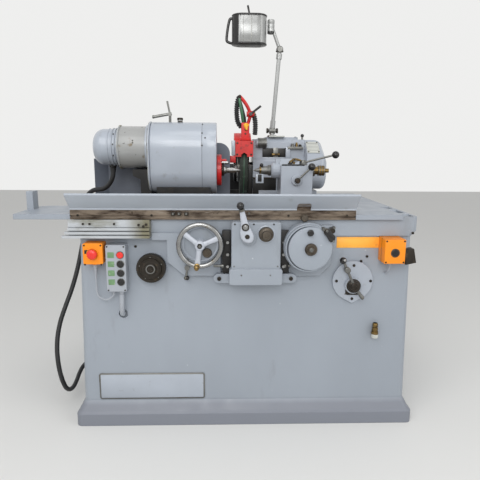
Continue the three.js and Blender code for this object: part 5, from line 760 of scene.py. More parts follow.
infeed = {
    "centre": (267, -638.3, 872),
    "disc": [(93, 0), (95, 2), (95, 24), (93, 26.5), (80, 29), (55, 32), (30, 33.5), (0, 34)],
    "fittings": (("knurledFittingA", (320, -638, 958), 8, 34), ("knurledFittingB", (352, -638, 952), 11, 26),
                 ("knurledFittingC", (366, -638, 962), 8, 20)),
}
disc = turned("infeedDisc", infeed["disc"], infeed["centre"], "front", "infeed_wheel", "enamel", 96)
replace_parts(disc, "infeed_handwheel")
turnedSet("infeed_wheel", "front", [
    ("infeedHub", "brownKnob", 60, infeed["centre"],
     [(27, 30, knurl), (27, 42, knurl), (24, 46), (19, 46), (18, 43), (12, 43), (11, 48)]),
    ("infeedCentreScrew", "dullSteel", 28, infeed["centre"], [(9, 43), (9, 50), (7, 52), (2.5, 52), (2, 50)]),
    ("infeedCrankKnob", "blackPlastic", 32, (262, -669, 945),
     [(9, -4), (9, 2), (13, 6), (14.5, 12), (13, 19), (9, 22.5), (0, 23.5)])])
turned("infeedScaleRing", [(96.5, 20), (102, 20), (103.5, 10), (103.5, 1), (96.5, 1), (96.5, 20)],
       (262, -638.3, 872), "front", "root", "enamel", 96)
for name, at, radius, reach in infeed["fittings"]:
    turned(name, [(radius * 0.6, -4), (radius * 0.6, 6), (radius, 8, knurl), (radius, reach - 5, knurl),
                  (radius * 0.8, reach), (radius * 0.3, reach), (0, reach - 1)],
           at, "front", "root", "dullSteel", 36)
turned("knurledNeck", [(5, 0), (5, 40)], (318, -655, 962), (0.95, 0, -0.3), "root", "dullSteel", 20)

indexLever = {"middle": (345, -673, 932), "turn": -58, "length": 60, "width": 27}
a = math.radians(indexLever["turn"])
oval = [(math.cos(a) * x - math.sin(a) * y, math.sin(a) * x + math.cos(a) * y)
        for x, y in roundedCorners(indexLever["length"], indexLever["width"], 13, 8)]
plate("indexPlate", oval, 8, "front", indexLever["middle"], "index_lever", "blackPlastic", 2)
bolts("indexDots", [(331.5, -681, 953), (361, -681, 908)], 5, 2, "index_lever", "dullSteel")

# Feed selector

selector = {"centre": (484, -580.3, 684), "ball": (426, -601.3, 806), "tail": (518, -601.3, 638)}
boltSet("root", [
    ("selectorFlangeBolts", [(486, -564, 775), (409, -564, 702), (566, -564, 702), (484, -564, 618)], 6.5, 3),
    ("selectorOilers", [(447, -564, 752), (452, -564, 640)], 3.5, 3, "dullSteel", "slot"),
    ("selectorCover", [(521, -550, 792)], 6, 4)])
ball("selectorBall", selector["ball"], 15.5, "selector_lever", "blackPlastic")
turned("selectorBallCap", [(6, 12), (6, 16.5), (4, 17.5)], selector["ball"], (0.3, -0.9, 0.3),
       "selector_lever", "turnedSteel", 20)
turnedSet("selector_lever", "front", [
    ("selectorSpool", "dullSteel", 32, (446, -592, 764),
     [(13.5, 0), (13.5, 5), (9, 8), (9, 14), (13.5, 17), (13.5, 24), (10, 27)]),
    ("selectorHub", "darkSteel", 56, selector["centre"],
     [(32, 0.2), (32, 6), (27.4, 8, knurl), (27.4, 20, knurl), (24, 23), (20.6, 24), (20.6, 33), (17, 36),
      (8, 36), (7, 33)])])
turned("selectorTailKnob", [(8, -12), (9, -4), (9, 8), (6, 12)], selector["tail"], (0.6, 0, -0.8),
       "selector_lever", "dullSteel", 24)
plate("selectorStop", roundedCorners(64, 46, 9), 5, "front", (484, -564.5, 660), "root", "darkSteel", 1.5)
print("right controls made")

# Electrical boxes

estopButton = (-672, -618, 840)
stationButtons = (834, 793.5, 753, 712.5)
buttonCollar = [(14.9, -1), (17.2, -1), (17.2, 1.6), (16.2, 2.6), (14.9, 2.6), (14.9, -1)]
# Middle of each lid, how far its four screws stand from there, and their radius
lids = {"estopScrews": ((-672, -618, 832), (-35, 35), (-39, 46), 4),
        "stationScrews": ((-576, -612, 773), (-36, 36), (-98, 98), 3.6),
        "rightBoxScrews": ((643, -642, 854.5), (-39, 39), (-47, 47), 4)}
for name, ((x, y, z), across, upward, radius) in lids.items():
    bolts(name, [(x + dx, y, z + dz) for dx in across for dz in upward], radius, 1.2)
boxSet("root", [
    ("estopBlank", "blackPlastic", (-707, -619.4, 841), (-684, -616, 858), 0.6),
    ("stationSeam", "sheetEnamel", (-619.4, -593, 667.6), (-532.6, -591, 878.4), 0.5),
    ("rightBoxSeam", "darkSteel", (596.6, -597, 800), (689.4, -594.5, 908.9), 0.5)])
mushroom = turned("mushroomCap", [(11, 3), (11, 8.2), (20, 8.2), (22, 10), (22, 15), (20, 19.5), (15, 22.5),
                                  (8, 23.8), (0, 24)], estopButton, "front", "mushroom", "redPlastic", 48)
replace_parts(mushroom, "estop_mushroom")
for index, z in enumerate(stationButtons):
    plate(f"stationLabel{index}", roundedCorners(28, 25, 2, 3), 1.4, "front", (-596.5, -611.8, z),
          "root", "greenLabel", 0.3)
    turned(f"buttonCollar{index}", buttonCollar, (-556, -612, z), "front", "root", "dullSteel", 36)
rightBox = boxPiece("rightBoxShell", (597, -642, 800.5), (689, -550.3, 908.4), "root", "amberPlastic", 4)
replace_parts(rightBox, "right_control_box")
rightSwitch = {"low": (688.5, -636, 798), "high": (736, -590, 863), "tilt": ("Y", -12, (712, -612, 830))}
boxPiece("rightSwitch", rightSwitch["low"], rightSwitch["high"], "root", "darkSteel", 3, rightSwitch["tilt"])
rightLeadRoute = [(640, -588, 800), (640, -588, 774), (638, -582, 756), (634, -566, 744), (632, -549, 740)]
tubePiece("rightLead", rightLeadRoute, 4, "root", "greyPlastic")
turnedSet("root", "front", [
    ("estopCollar", "amberPlastic", 40, estopButton,
     [(23, -1), (26.5, -1), (26.5, 2), (25.5, 3), (23, 3), (23, -1)]),
    ("rightButtonRing", "brownKnob", 40, (643, -642, 849.5),
     [(15.4, -1), (19.5, -1), (19.5, 1.8), (18, 3.2), (15.4, 3.2), (15.4, -1)])])
turnedSet("root", down, [
    ("estopGland", "greyPlastic", 20, (-672, -584, 785.7), [(11.6, 0), (11.6, 7), (9, 9), (8, 17)]),
    ("rightGland", "greyPlastic", 20, (640, -588, 801), [(11.5, 0), (11.5, 8), (8, 10), (7, 18)])])

# Oil valve; its heights are from the floor

turnedSet("root", "up", [
    ("oilValveBody", "oldBrass", 40, (598, -572, 0),
     [(13, 432), (16, 436), (16, 458), (12, 461), (12, 466), (13.5, 468), (13.5, 480), (10, 483), (12.5, 486),
      (12.5, 499), (9, 503)]),
    ("oilGlass", "paleLid", 36, (598, -572, 0), [(14.5, 431), (16.5, 435), (16.5, 449), (14, 451)])])

# Workhead: a drum with two round ends, the spindle in the lower one and the motor on the upper one's axis

workAxis, motorAxis, wheelAxis = (-330, 1190), (-330, 1295), (30, 1190)     # Y and Z
workhead = {"upperRadius": 117, "lowerRadius": 110}


def drumCorners(grow):
    # Outline in Y and Z of two round ends joined by straight flanks
    (y, z), (_, upperZ) = workAxis, motorAxis
    upper, lower = workhead["upperRadius"] + grow, workhead["lowerRadius"] + grow
    lean = math.asin((upper - lower) / (upperZ - z))
    corners = [(y + upper * math.cos(a), upperZ + upper * math.sin(a))
               for a in circle(32, -lean, math.pi + 2 * lean, True)]
    return corners + [(y + lower * math.cos(a), z + lower * math.sin(a))
                      for a in circle(24, math.pi + lean, math.pi - 2 * lean, True)]


# Growth of the drum's outline and place along X, for each slice
drumSlices = {
    "drumBackRing": ("cleanEnamel", [(-4, -444), (2.5, -444), (3.2, -445.5), (3.2, -449), (2, -450.5),
                                     (-6, -450.5)]),
    "drumBackLine": ("wornEnamel", [(-6, -450), (1.2, -450), (1.2, -453.5), (-6, -453.5)]),
    "drumShell": ("cleanEnamel", [(-9, -444), (-3.5, -443), (-0.6, -439.5), (0.3, -433), (0.3, -206.5),
                                  (-0.6, -205.3), (-3, -205.2)]),
    "drumCover": ("cleanEnamel", [(-3, -204.6), (-0.6, -204.4), (0.3, -203), (0.3, -149), (-0.6, -143),
                                  (-3.5, -140), (-9, -138.9)]),
    "drumSeam": ("darkSteel", [(-2.2, -206), (-2.2, -204)]),
}
for name, (look, steps) in drumSlices.items():
    loft(name, [[(x, y, z) for y, z in drumCorners(grow)] for grow, x in steps], "workhead", look, 35)


def onDrum(x, degrees, lift=0.0):
    a, r = math.radians(degrees), workhead["upperRadius"] + lift
    return (x, motorAxis[0] - r * math.cos(a), motorAxis[1] + r * math.sin(a))


for index, (x, degrees) in enumerate(((-204, 66), (-204, 34), (-204, 5), (-190, 22))):
    a = math.radians(degrees)
    outward = (0, -math.cos(a), math.sin(a))
    bolts(f"drumScrew{index}", [onDrum(x, degrees)], 3.4, 1.4, "workhead", axis=outward)
turnedSet("workhead", "up", [
    ("drumPlug", "darkSteel", 32, (-311, -330, 1412),
     [(12, -3), (12, 5), (9, 6), (9, 10), (14, 11), (14, 19), (11, 21)]),
    ("drumPlugBand", "lampAlloy", 32, (-311, -330, 1412),
     [(9.5, 6), (12.5, 6), (12.5, 10.5), (9.5, 10.5), (9.5, 6)]),
    ("cowlGland", "blackPlastic", 32, (-634, -330, 1212), [(13.6, -16), (17, -8), (17, 14)])])

motor = {
    "shell": [(90, 0), (93, 1), (96.6, 3), (97.8, 6), (97.8, 141), (107.8, 141), (107.8, 150.5)],
    "cowlRadius": 84, "cowlRound": 50, "cowlRibs": (91, 105), "cowlLength": 118.4,
    "screws": (12, 18), "cowlScrews": (-0.45, 0.15, 0.75), "cowlScrewCircle": 86,
}


def cowlOutline(v):
    # A flat end with a round shoulder, then two raised ribs
    full, r = v["cowlRadius"], v["cowlRound"]
    outline = [(0, 0)] + [(full - r + r * math.sin(t), r - r * math.cos(t)) for t in quarter(16)]
    for x in v["cowlRibs"]:
        outline += [(full, x), (88, x + 0.6), (88.8, x + 2), (88.8, x + 4), (88, x + 5), (full, x + 5)]
    return outline + [(full, v["cowlLength"])]


motorShell = turned("motorShell", motor["shell"], (-595.8, *motorAxis), "right",
                    "workhead", "motorEnamel", 96)
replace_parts(motorShell, "workhead_motor")
cowl = turned("cowlShell", cowlOutline(motor), (-715, *motorAxis), "right", "workhead", "cleanEnamel", 96)
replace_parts(cowl, "motor_fan_cowl")
turnedSet("workhead", "right", [
    ("motorRingLeft", "wornEnamel", 72, (-594, *motorAxis),
     [(96, 0), (101, 0), (102.5, 1.5), (102.5, 6), (101, 7.5), (96, 7.5), (96, 0)]),
    ("motorRingRight", "cleanEnamel", 72, (-466, *motorAxis),
     [(96, 0), (102, 0), (104, 2), (104, 9), (102, 11), (96, 11), (96, 0)]),
    ("cowlBand", "cleanEnamel", 72, (-642, *motorAxis),
     [(83, 0), (86.2, 0), (86.8, 1), (86.8, 4), (86.2, 5), (83, 5), (83, 0)])])
r, (y, z) = motor["cowlScrewCircle"], motorAxis
cowlScrews = [(-612, y - r * math.cos(t), z + r * math.sin(t)) for t in motor["cowlScrews"]]
boltSet("workhead", [
    ("motorScrews", [onDrum(-520, degrees, -19) for degrees in motor["screws"]], 3, 1.2),
    ("cowlScrews", cowlScrews, 3.5, 1.5)])
turned("crankKnuckle", [(8.5, -9), (8.5, 9)], (-358, -330, 1448), "front", "workhead_crank", "dullSteel", 24)
turned("crankBarTip", [(8, -3), (8, 3), (6, 5)], (-436, -330, 1436), "left",
       "workhead_crank", "dullSteel", 24)
turnedSet("work_spindle", "right", [
    ("spindleCollar", "darkSteel", 40, (-116, *workAxis),
     [(19, 0), (26, 0), (28, 2), (28, 10), (26, 12), (19, 12), (19, 0)]),
    ("driverHub", "dullSteel", 32, (-101, *workAxis), [(17, 0), (17, 8), (13, 10), (13, 12)]),
    ("driverPinTip", "turnedSteel", 24, (-116, -330, 1226), [(8.5, 0), (8.5, 30), (6, 33)])])
print("workhead dressed")

# Tailstock

tailstock = {"hub": (237, -419.3, 1148), "lever": (300.6, -441.3, 1211.6), "clampBall": (423, -376.8, 1266.3),
             "grooves": (350, 362, 374)}
ball("tailTopKnob", (76, -338, 1215), 9, "quill", "blackPlastic")
ball("tailLeverBall", tailstock["lever"], 17.4, "quill_lever", "blackPlastic")
ball("clampLeverBall", tailstock["clampBall"], 17.4, "tail_clamp", "blackPlastic")
turned("tailTopKnobStem", [(4, -2), (4, 8)], (76, -337, 1205), "up", "quill", "dullSteel", 20)
turned("quillNose", [(11.4, 0), (17, 0), (18, 1.5), (18, 8), (17, 9.5), (11.4, 9.5), (11.4, 0)],
       (66, *workAxis), "right", "quill", "oldBrass", 40)
turned("tailHubRing", [(13, -11), (25, -11), (26.5, -9), (26.5, -4), (24, -1.5), (13, -1.5), (13, -11)],
       tailstock["hub"], "front", "tailstock", "cleanEnamel", 48)
turned("tailHubCap", [(11, 15), (13, 17), (13, 23), (11, 25.5), (4, 26), (3, 25)],
       tailstock["hub"], "front", "quill_lever", "darkSteel", 36)
turned("clampHub", [(17.3, 0.4), (17.3, 11), (14, 14), (12.3, 20), (9, 24)], (277, -330, 1216), "up",
       "tail_clamp", "dullSteel", 40)
boxSet("quill", [
    ("quillBracket", "cleanEnamel", (48, -352, 1129), (86, -318, 1173), 3),
    ("quillBracketDark", "oilyBlackAndPaintedShade", (58, -354, 1137), (76, -351, 1171), 1)])
clampParts = (("clampBrassNut", (228, -352, 1216), 9, 16, "oldBrass", 6),
              ("clampStud", (228, -352, 1228), 5, 22, "dullSteel", 20),
              ("clampBlackNut", (208, -372, 1216), 10, 12, "oilyBlackAndPaintedShade", 6),
              ("clampThumbNut", (228, -352, 1240), 8, 7, "darkSteel", 12))
for name, at, radius, height, look, sides in clampParts:
    turned(name, [(radius, -2), (radius, height - 2), (radius - 1.5, height)], at, "up",
           "tailstock", look, sides)
boxPiece("tailSlotBar", (166, -409.5, 1216), (272, -398, 1222), "tailstock", "oilyBlackAndPaintedShade", 1)
tubePiece("tailEccentric", [(206, -368, 1230), (232, -352, 1244), (262, -338, 1238)], 5,
          "tailstock", "oldBrass", 14)
turnedSet("tailstock", "right", [
    ("tailCollar", "dullSteel", 48, (107, *workAxis),
     [(18.6, 0), (24, 0), (25.5, 1.5, knurl), (25.5, 13, knurl), (24, 15), (18.6, 15), (18.6, 0)]),
    ("rearScrewRing", "dullSteel", 48, (318, *workAxis),
     [(27.2, 0), (29, 1, knurl), (29, 9, knurl), (27.2, 10), (19, 10), (19, 0), (27.2, 0)])] + [
    (f"rearScrewGroove{index}", "dullSteel", 40, (x, *workAxis),
     [(23, 0), (25.4, 0.6), (25.4, 3.4), (23, 4), (23, 0)])
    for index, x in enumerate(tailstock["grooves"])])
bolts("tailFootBolts", [(170, -408.6, 1060), (304, -408.6, 1060)], 7, 5, "tailstock", "darkSteel", "hex")
print("tailstock dressed")

# Wheelhead: window in the front, fittings, small covers, and near-black panels of painted shade

wheelhead = {"windowX": ((102, 161), (185, 239)), "windowZ": (1247, 1295),
             "windowFront": -43, "windowBack": -39.5,
             "oiler": (74, -56, 1322), "oilerRibs": 7, "lidSlope": 35, "lidCentre": (368, -69.5, 1299.5)}
low, high = wheelhead["windowZ"]
front, back = wheelhead["windowFront"], wheelhead["windowBack"]
# The two window plates are near black: painted shade inside the window recesses
boxSet("wheelhead", [
    (f"windowShade{index}", "oilyBlackAndPaintedShade", (left, front, low), (right, back, high), 1)
    for index, (left, right) in enumerate(wheelhead["windowX"])] + [
    ("windowPost", "dullSteel", (160, front - 2, low - 2), (186, back, high + 2), 2),
    ("windowSill", "cleanEnamel", (98, front - 4, low - 7), (243, back, low), 1.5),
    ("housingCornerRight", "cleanEnamel", (226, -58, 1243), (250, -39, 1300), 2),
    ("housingShelf", "dullSteel", (236, -60, 1290), (318, -38, 1304), 2),
    # Near-black panels of painted shade in front of the spindle and behind the wheel, then blocks on the cap
    # and beside the hood
    ("spindleShade", "oilyBlackAndPaintedShade", (50.5, -72, 1048), (176, -64.5, 1140), 3),
    ("spindleShadeLip", "darkSteel", (50.5, -76, 1132), (176, -64.5, 1141), 2),
    ("wheelBackShade", "oilyBlackAndPaintedShade", (-70, 246, 1047), (49.5, 252, 1202), 3),
    ("wheelSideShade", "oilyBlackAndPaintedShade", (23.5, -66, 1047), (49.8, -60, 1204), 2),
    ("capBlock", "paleLid", (137, -37, 1354), (222, 40, 1361), 2),
    ("hoodCheek", "cleanEnamel", (-66, -146, 1256), (-47, -96, 1334), 4),
    ("hoodTab", "redEnamel", (-74, -143, 1219), (-44, -137, 1255), 2)])
boxPiece("bedEndCover", (-72, 255, 998.3), (49.5, 262, 1046.5), "root", "oilyBlackAndPaintedShade", 3)
bolts("bedCoverScrews", [(x, 255, 1022) for x in (-60, 38)], 5, 3, "root", "darkSteel", "hex")
ribs = []
for i in range(wheelhead["oilerRibs"]):
    ribs += [(24, 1 + i * 7), (27, 2 + i * 7), (27, 5 + i * 7), (24, 6 + i * 7)]
turnedSet("wheelhead", "right", [
    ("windowBrass", "oldBrass", 24, (152, -50, 1262), [(5, 0), (6, 2), (6, 40), (5, 42)]),
    ("wheelheadOiler", "dullSteel", 48, wheelhead["oiler"], [(0, 0)] + ribs + [(0, 50)]),
    ("wheelheadOilerCap", "cleanEnamel", 48, (66, -56, 1322), [(20, 0), (22, 2), (22, 9)])])
fittings = (("fittingPlug", (262, -48, 1304), 9, 16, "dullSteel"),
            ("fittingCap", (284, -50, 1304), 7, 22, "oldBrass"),
            ("fittingNut", (304, -48, 1304), 8, 12, "darkSteel"))
for name, at, radius, height, look in fittings:
    turned(name, [(radius, -2), (radius, height * 0.6), (radius * 0.7, height * 0.7), (radius * 0.7, height)],
           at, "up", "wheelhead", look, 24)
turned("guardKnobStem", [(5, 0), (5, 16)], (318, -20, 1340), "up", "wheelhead", "dullSteel", 20)
ball("guardKnob", (318, -20, 1362), 9.5, "wheelhead", "blackPlastic")

# Lid on the belt guard's slope
a = math.radians(wheelhead["lidSlope"])
slope, along = (0, -math.sin(a), math.cos(a)), Vector((0, math.cos(a), math.sin(a)))
lidCentre = Vector(wheelhead["lidCentre"])
plate("beltLid", roundedCorners(66, 100, 6), 4, slope, lidCentre, "wheelhead", "paleLid", 1.2)
for index, place in enumerate((-30, 0, 30)):
    middle = lidCentre + along * place + Vector(slope) * 3.6
    boxPiece(f"beltLidLine{index}", middle - Vector((29, 1.2, 0.4)), middle + Vector((29, 1.2, 0.6)),
             "wheelhead", "dullSteel", 0.3, ("X", wheelhead["lidSlope"], middle))
lidScrews = [lidCentre + along * p + Vector((x, 0, 0)) + Vector(slope) * 4
             for x in (-27, 27) for p in (-43, 43)]
bolts("lidScrews", lidScrews, 4, 1.6, "wheelhead", axis=slope)

beltGuard = {"front": -128, "back": 430, "low": 1080, "high": 1340, "round": 62, "left": 329.4,
             "roundFrom": 378, "topRadius": 34, "topFrom": 406, "taperFrom": 1200, "taperOver": 140}


def beltGuardRing(grow, drop, x):
    # Side outline of the belt guard, drawn in by grow and lowered at the top by drop
    v, r = beltGuard, beltGuard["round"]
    front, back, low, high = v["front"] - grow, v["back"] + grow, v["low"] - grow, v["high"] + grow
    ring = [(back, low), (back, high - r), (back - 22, high - 22), (back - r, high), (front + 118, high),
            (front + 6, high - 79), (front, high - 90)]
    ring += [(front + r - r * math.cos(t), low + r - r * math.sin(t)) for t in quarter(10)]
    return [(x, y, z - drop * max(0, (z - v["taperFrom"]) / v["taperOver"])) for y, z in ring]


steps = [(-3, 0, beltGuard["left"]), (0, 0, 332)]
for t in quarter(16):
    x = beltGuard["roundFrom"] + beltGuard["round"] * math.sin(t)
    inset = math.sqrt(max(0, beltGuard["topRadius"] ** 2 - max(0, x - beltGuard["topFrom"]) ** 2))
    steps.append((inset - beltGuard["topRadius"], beltGuard["round"] * (1 - math.cos(t)), x))
guardShell = loft("beltGuardShell", [beltGuardRing(*step) for step in steps], "wheelhead", "cleanEnamel", 32)
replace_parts(guardShell, "belt_guard")
bolts("beltGuardScrews", [(440, y, z) for y in (150, 380) for z in (1130, 1270)], 6, 2,
      "wheelhead", axis="right")
bolts("capScrews", [(x, y, 1354) for x in (134, 286) for y in (14, 160)], 6, 3, "wheelhead", axis="up")
bolts("noseScrews", [(x, -145, z) for z in (1262, 1320) for x in (-36, 36)], 5, 3, "wheelhead")

# Grinding wheel: stone, the line round it, and its flange

turnedSet("wheel", "right", [
    ("wheelFlangeFace", "dullSteel", 72, (-32.3, *wheelAxis),
     [(30, 0), (77, 0), (78.4, 1.5), (78.4, 11), (77, 12.3), (30, 12.3), (30, 0)]),
    ("wheelStone", "stone", 120, (0, *wheelAxis),
     [(64, -20), (162, -20), (165.3, -17), (165.3, -3), (164, -1), (165.3, 1), (165.3, 17), (162, 20),
      (64, 20), (64, -20)]),
    ("wheelLine", "greenHose", 120, (0, *wheelAxis),
     [(164.6, -1.6), (165.9, -1.6), (165.9, 1.6), (164.6, 1.6), (164.6, -1.6)])])
r, (y, z) = 58, wheelAxis
flangeScrews = [(-32.3, y + r * math.cos(t), z + r * math.sin(t)) for t in circle(6)]
bolts("wheelFlangeScrews", flangeScrews, 5.5, 3, "wheel", axis="left")
print("wheelhead dressed")

# Coolant pipe, valve, hoses and nozzle

coolant = {"block": ((-15, -116, 1333), (27, -69, 1424)), "pipeRadius": 9, "hoseRadius": 8,
           "ribRoot": 10, "ribCrest": 14}
routes = {
    "pipe": [(16, -92, 1410), (26, -96, 1440), (30, -100, 1467), (20, -106, 1497), (-2, -112, 1530),
             (-26, -116, 1556)],
    "green": [(-4, -98, 1414), (-8, -112, 1440), (-14, -122, 1475), (-22, -124, 1515), (-27, -119, 1549)],
    "left": [(-6, -88, 1404), (-20, -92, 1408), (-33, -100, 1428), (-39, -108, 1462), (-39, -112, 1500),
             (-35, -114, 1530), (-27, -115, 1552)],
    "right": [(48, -99, 1466), (53, -101, 1452), (57, -104, 1430), (58, -107, 1405), (57, -110, 1380),
              (56, -111, 1362)],
    "thin": [(6, -100, 1416), (4, -113, 1444), (-4, -119, 1476), (-16, -121, 1516), (-26, -118, 1546)],
}
column = boxPiece("coolantColumn", *coolant["block"], "wheelhead", "hoodEnamel", 4)
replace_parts(column, "coolant_pipe")
boxPiece("coolantColumnStep", (-20, -114, 1334), (34, -74, 1352), "wheelhead", "redEnamel", 3)
tubePiece("coolantThinHose", routes["thin"], 5, "wheelhead", "hoseRubber", 14)
tubePiece("coolantPipe", routes["pipe"], coolant["pipeRadius"], "wheelhead", "redEnamel", 20)
tubePiece("coolantGreenHose", routes["green"], coolant["hoseRadius"], "wheelhead", "greenHose", 18)
for name, route, ribs in (("coolantHoseLeft", "left", 16), ("coolantHoseRight", "right", 11)):
    ribbedPiece(name, routes[route], coolant["ribRoot"], coolant["ribCrest"], ribs, "wheelhead", "hoseRubber")
turnedSet("wheelhead", "right", [
    ("coolantValve", "redEnamel", 36, (32, -100, 1467),
     [(14, -20), (14, -12), (17.4, -11), (17.4, 11), (14, 12), (14, 20)]),
    ("coolantValveNut", "oldBrass", 6, (32, -100, 1467), [(11, 16), (11, 24), (9, 26)])])
turned("coolantElbow", [(10, -9), (11.5, -4), (11.5, 5), (8, 9)], (-27, -117, 1551), (-0.5, -0.1, 0.85),
       "wheelhead", "darkSteel", 28)
turned("coolantNozzle", [(12, -4), (13, 2), (10, 12), (6, 24), (4, 30)], (8, -114, 1412),
       (0.15, -0.45, -0.88), "wheelhead", "yellowNozzle", 32)
turned("coolantNozzleArm", [(6, 0), (6, 22)], (4, -112, 1406), (0.9, -0.2, 0.25),
       "wheelhead", "yellowNozzle", 20)
bolts("coolantColumnBolts", [(6, -116, 1388), (6, -116, 1368)], 5, 4, "wheelhead", "darkSteel", "hex")

# Machine lamp

lamp = {"base": (156, 0, 1388), "elbow": (188, 0, 1805), "joint": (139.6, 0, 1933),
        "x": (-65.3, 118.7), "y": (-55, 55), "round": 54, "stripEdge": -27,
        "seams": ((36, 1.6), (-6, 0.8), (84, 0.8)), "backRibs": (-12, 14, 40, 66)}


def lampCorners(grow):
    # Outline of the lamp's round head in X and Y
    width, depth = lamp["x"][1] - lamp["x"][0] + 2 * grow, lamp["y"][1] - lamp["y"][0] + 2 * grow
    middle = sum(lamp["x"]) / 2, sum(lamp["y"]) / 2
    return [(x + middle[0], y + middle[1]) for x, y in roundedCorners(width, depth, lamp["round"], 12)]


def lampSlice(name, z0, z1, grow, look, edge):
    steps = ((z0, grow - edge), (z0 + edge, grow), (z1 - edge, grow), (z1, grow - edge))
    return loft(name, [[(x, y, z) for x, y in lampCorners(g)] for z, g in steps], "lamp_head", look)


lampBody = lampSlice("lampBody", 1830, 1964, -2.5, "lampAlloy", 1.5)
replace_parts(lampBody, "lamp_head")
lampSlice("lampRimTop", 1962, 1971, 0, "blackPlastic", 2)
lampSlice("lampRimBottom", 1823, 1832, 0, "blackPlastic", 2)
# The dark strip is the left end of the outline, its points in order from one edge to the other
strip = [(x, y) for x, y in lampCorners(-0.8) if x < lamp["stripEdge"]]
first = max(range(len(strip)), key=lambda k: math.dist(strip[k], strip[k - 1]))
strip = strip[first:] + strip[:first]
loft("lampSideStrip", [[(x, y, z) for x, y in strip] for z in (1830, 1964)], "lamp_head", "blackPlastic")
boxSet("lamp_head", [
    (f"lampSeam{index}", "dullSteel", (x - wide, -53, 1833), (x + wide, -51.8, 1961), 0.4)
    for index, (x, wide) in enumerate(lamp["seams"])] + [
    (f"lampBackRib{index}", "lampAlloy", (x - 2, 50, 1846), (x + 2, 54.4, 1948), 1)
    for index, x in enumerate(lamp["backRibs"])] + [
    ("lampLens", "oilyBlackAndPaintedShade", (-34, -34, 1821.6), (90, 34, 1824), 0.8)])
handle = ((-56, 1953), (-72, 1953), (-78, 1942), (-91.5, 1854), (-89, 1842), (-56, 1830))
tubePiece("lampHandle", [(x, 0, z) for x, z in handle], 7, "lamp_head", "blackPlastic", 16, 8)
turned("lampTopKnob", [(13, -2), (13, 3), (9, 6), (7, 9)], (27, 0, 1971), "up",
       "lamp_head", "blackPlastic", 28)
turned("lampTopLever", [(4.5, 0), (5.5, 38), (4, 43), (0, 44)], (27, 0, 1978), (-0.22, 0, 1),
       "lamp_head", "blackPlastic", 24)
grooves = []
for low in (-38, -20, 0):
    grooves += [(18.6, low), (18.6, low + 14), (17, low + 15), (17, low + 17)]
turnedSet("lamp_arm", "up", [
    ("lampSwivelDrum", "lampAlloy", 40, lamp["joint"], [(16, -42), (18.6, -40)] + grooves + [(16, 18)]),
    ("lampSwivelBase", "blackPlastic", 40, lamp["joint"], [(14, -52), (18.8, -49), (18.8, -42)])])
turnedSet("lamp_pole", "front", [
    ("lampElbowCap", "dullSteel", 40, lamp["elbow"], [(13, -17), (16.5, -14), (16.5, 14), (13, 17)]),
    ("lampElbowBand", "blackPlastic", 40, lamp["elbow"], [(18, -6), (18, 6)])])
for side in (-1, 1):
    turned(f"lampElbowScrew{side + 1}", [(5, 0), (5, 20), (3.5, 22)], lamp["elbow"], (side, 0, -0.57),
           "lamp_pole", "darkSteel", 24)
    turned(f"lampKnob{side + 1}", [(8, 0), (8, 4), (13.5, 7), (13.5, 15), (10, 17.5), (0, 18)],
           (156 + 14.5 * side, 0, 1388), "right" if side > 0 else "left", "lamp_base", "darkSteel", 12)
turned("lampKnuckle", [(14, -16), (18, -12), (18, 12), (14, 16)], lamp["base"], "right",
       "lamp_base", "dullSteel", 40)
turned("lampPoleCollar", [(12, 0), (15, 0), (15, 26), (12, 28), (12, 0)], (184.4, 0, 1757), (0.0767, 0, 1),
       "lamp_pole", "lampAlloy", 36)
turned("lampFootRing", [(25.5, 0), (25.5, 6), (20, 10)], (156, 0, 1354.2), "up", "lamp_base", "dullSteel", 36)
print("lamp dressed")

# Floor, backdrop and light

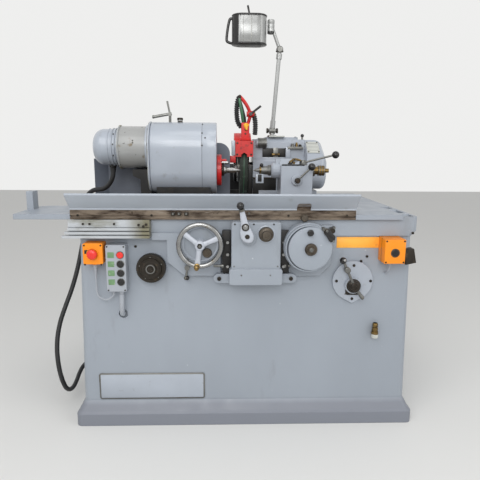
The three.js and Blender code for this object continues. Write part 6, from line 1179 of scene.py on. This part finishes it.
studio = {
    "floor": colour(222, 222, 220), "backdrop": 0.86, "ambient": 0.6,
    # Place, the point it aims at, size and power
    "lights": {"key": ((-1.8, -3.2, 3.6), (0, -0.2, 0.9), 2.6, 46),
               "front": ((-0.3, -5.2, 3.0), (0, -0.2, 1.2), 2.4, 92),
               "fill": ((3.2, -2.6, 2.4), (0.2, 0, 0.9), 2.4, 32),
               "top": ((-0.3, -1.7, 4.4), (-0.1, -0.3, 1.2), 1.3, 14)},
}


def makeStudio(v):
    bpy.ops.mesh.primitive_plane_add(size=24, location=(0, 0, -0.0005))
    floor = bpy.context.active_object
    floor.name = "floor"
    material = bpy.data.materials.new("floor")
    material.use_nodes = True
    shader = material.node_tree.nodes["Principled BSDF"]
    shader.inputs["Base Color"].default_value = v["floor"]
    shader.inputs["Roughness"].default_value = 0.9
    floor.data.materials.append(material)

    # The backdrop shows to the camera and in gloss and glass; all else gets the ambient light
    world = bpy.data.worlds.new("studio")
    scene.world = world
    world.use_nodes = True
    nodes, links = world.node_tree.nodes, world.node_tree.links
    ambient, backdrop = nodes["Background"], nodes.new("ShaderNodeBackground")
    ambient.inputs["Color"].default_value = (1, 1, 1, 1)
    ambient.inputs["Strength"].default_value = v["ambient"]
    backdrop.inputs["Color"].default_value = (1, 1, 0.99, 1)
    backdrop.inputs["Strength"].default_value = v["backdrop"]
    rays, either, mix = (nodes.new(f"ShaderNode{kind}") for kind in ("LightPath", "Math", "MixShader"))
    last = nodes.new("ShaderNodeMath")
    either.operation = last.operation = "MAXIMUM"
    links.new(rays.outputs["Is Camera Ray"], either.inputs[0])
    links.new(rays.outputs["Is Glossy Ray"], either.inputs[1])
    links.new(either.outputs[0], last.inputs[0])
    links.new(rays.outputs["Is Transmission Ray"], last.inputs[1])
    links.new(last.outputs[0], mix.inputs["Fac"])
    links.new(ambient.outputs[0], mix.inputs[1])
    links.new(backdrop.outputs[0], mix.inputs[2])
    links.new(mix.outputs[0], nodes["World Output"].inputs["Surface"])

    for name, (place, aim, size, power) in v["lights"].items():
        data = bpy.data.lights.new(name, "AREA")
        data.energy, data.size = power, size
        light = bpy.data.objects.new(name, data)
        scene.collection.objects.link(light)
        light.location = place
        light.rotation_euler = (Vector(aim) - Vector(place)).to_track_quat("-Z", "Y").to_euler()


makeStudio(studio)
scene.view_settings.view_transform = "Standard"
print("studio lit")
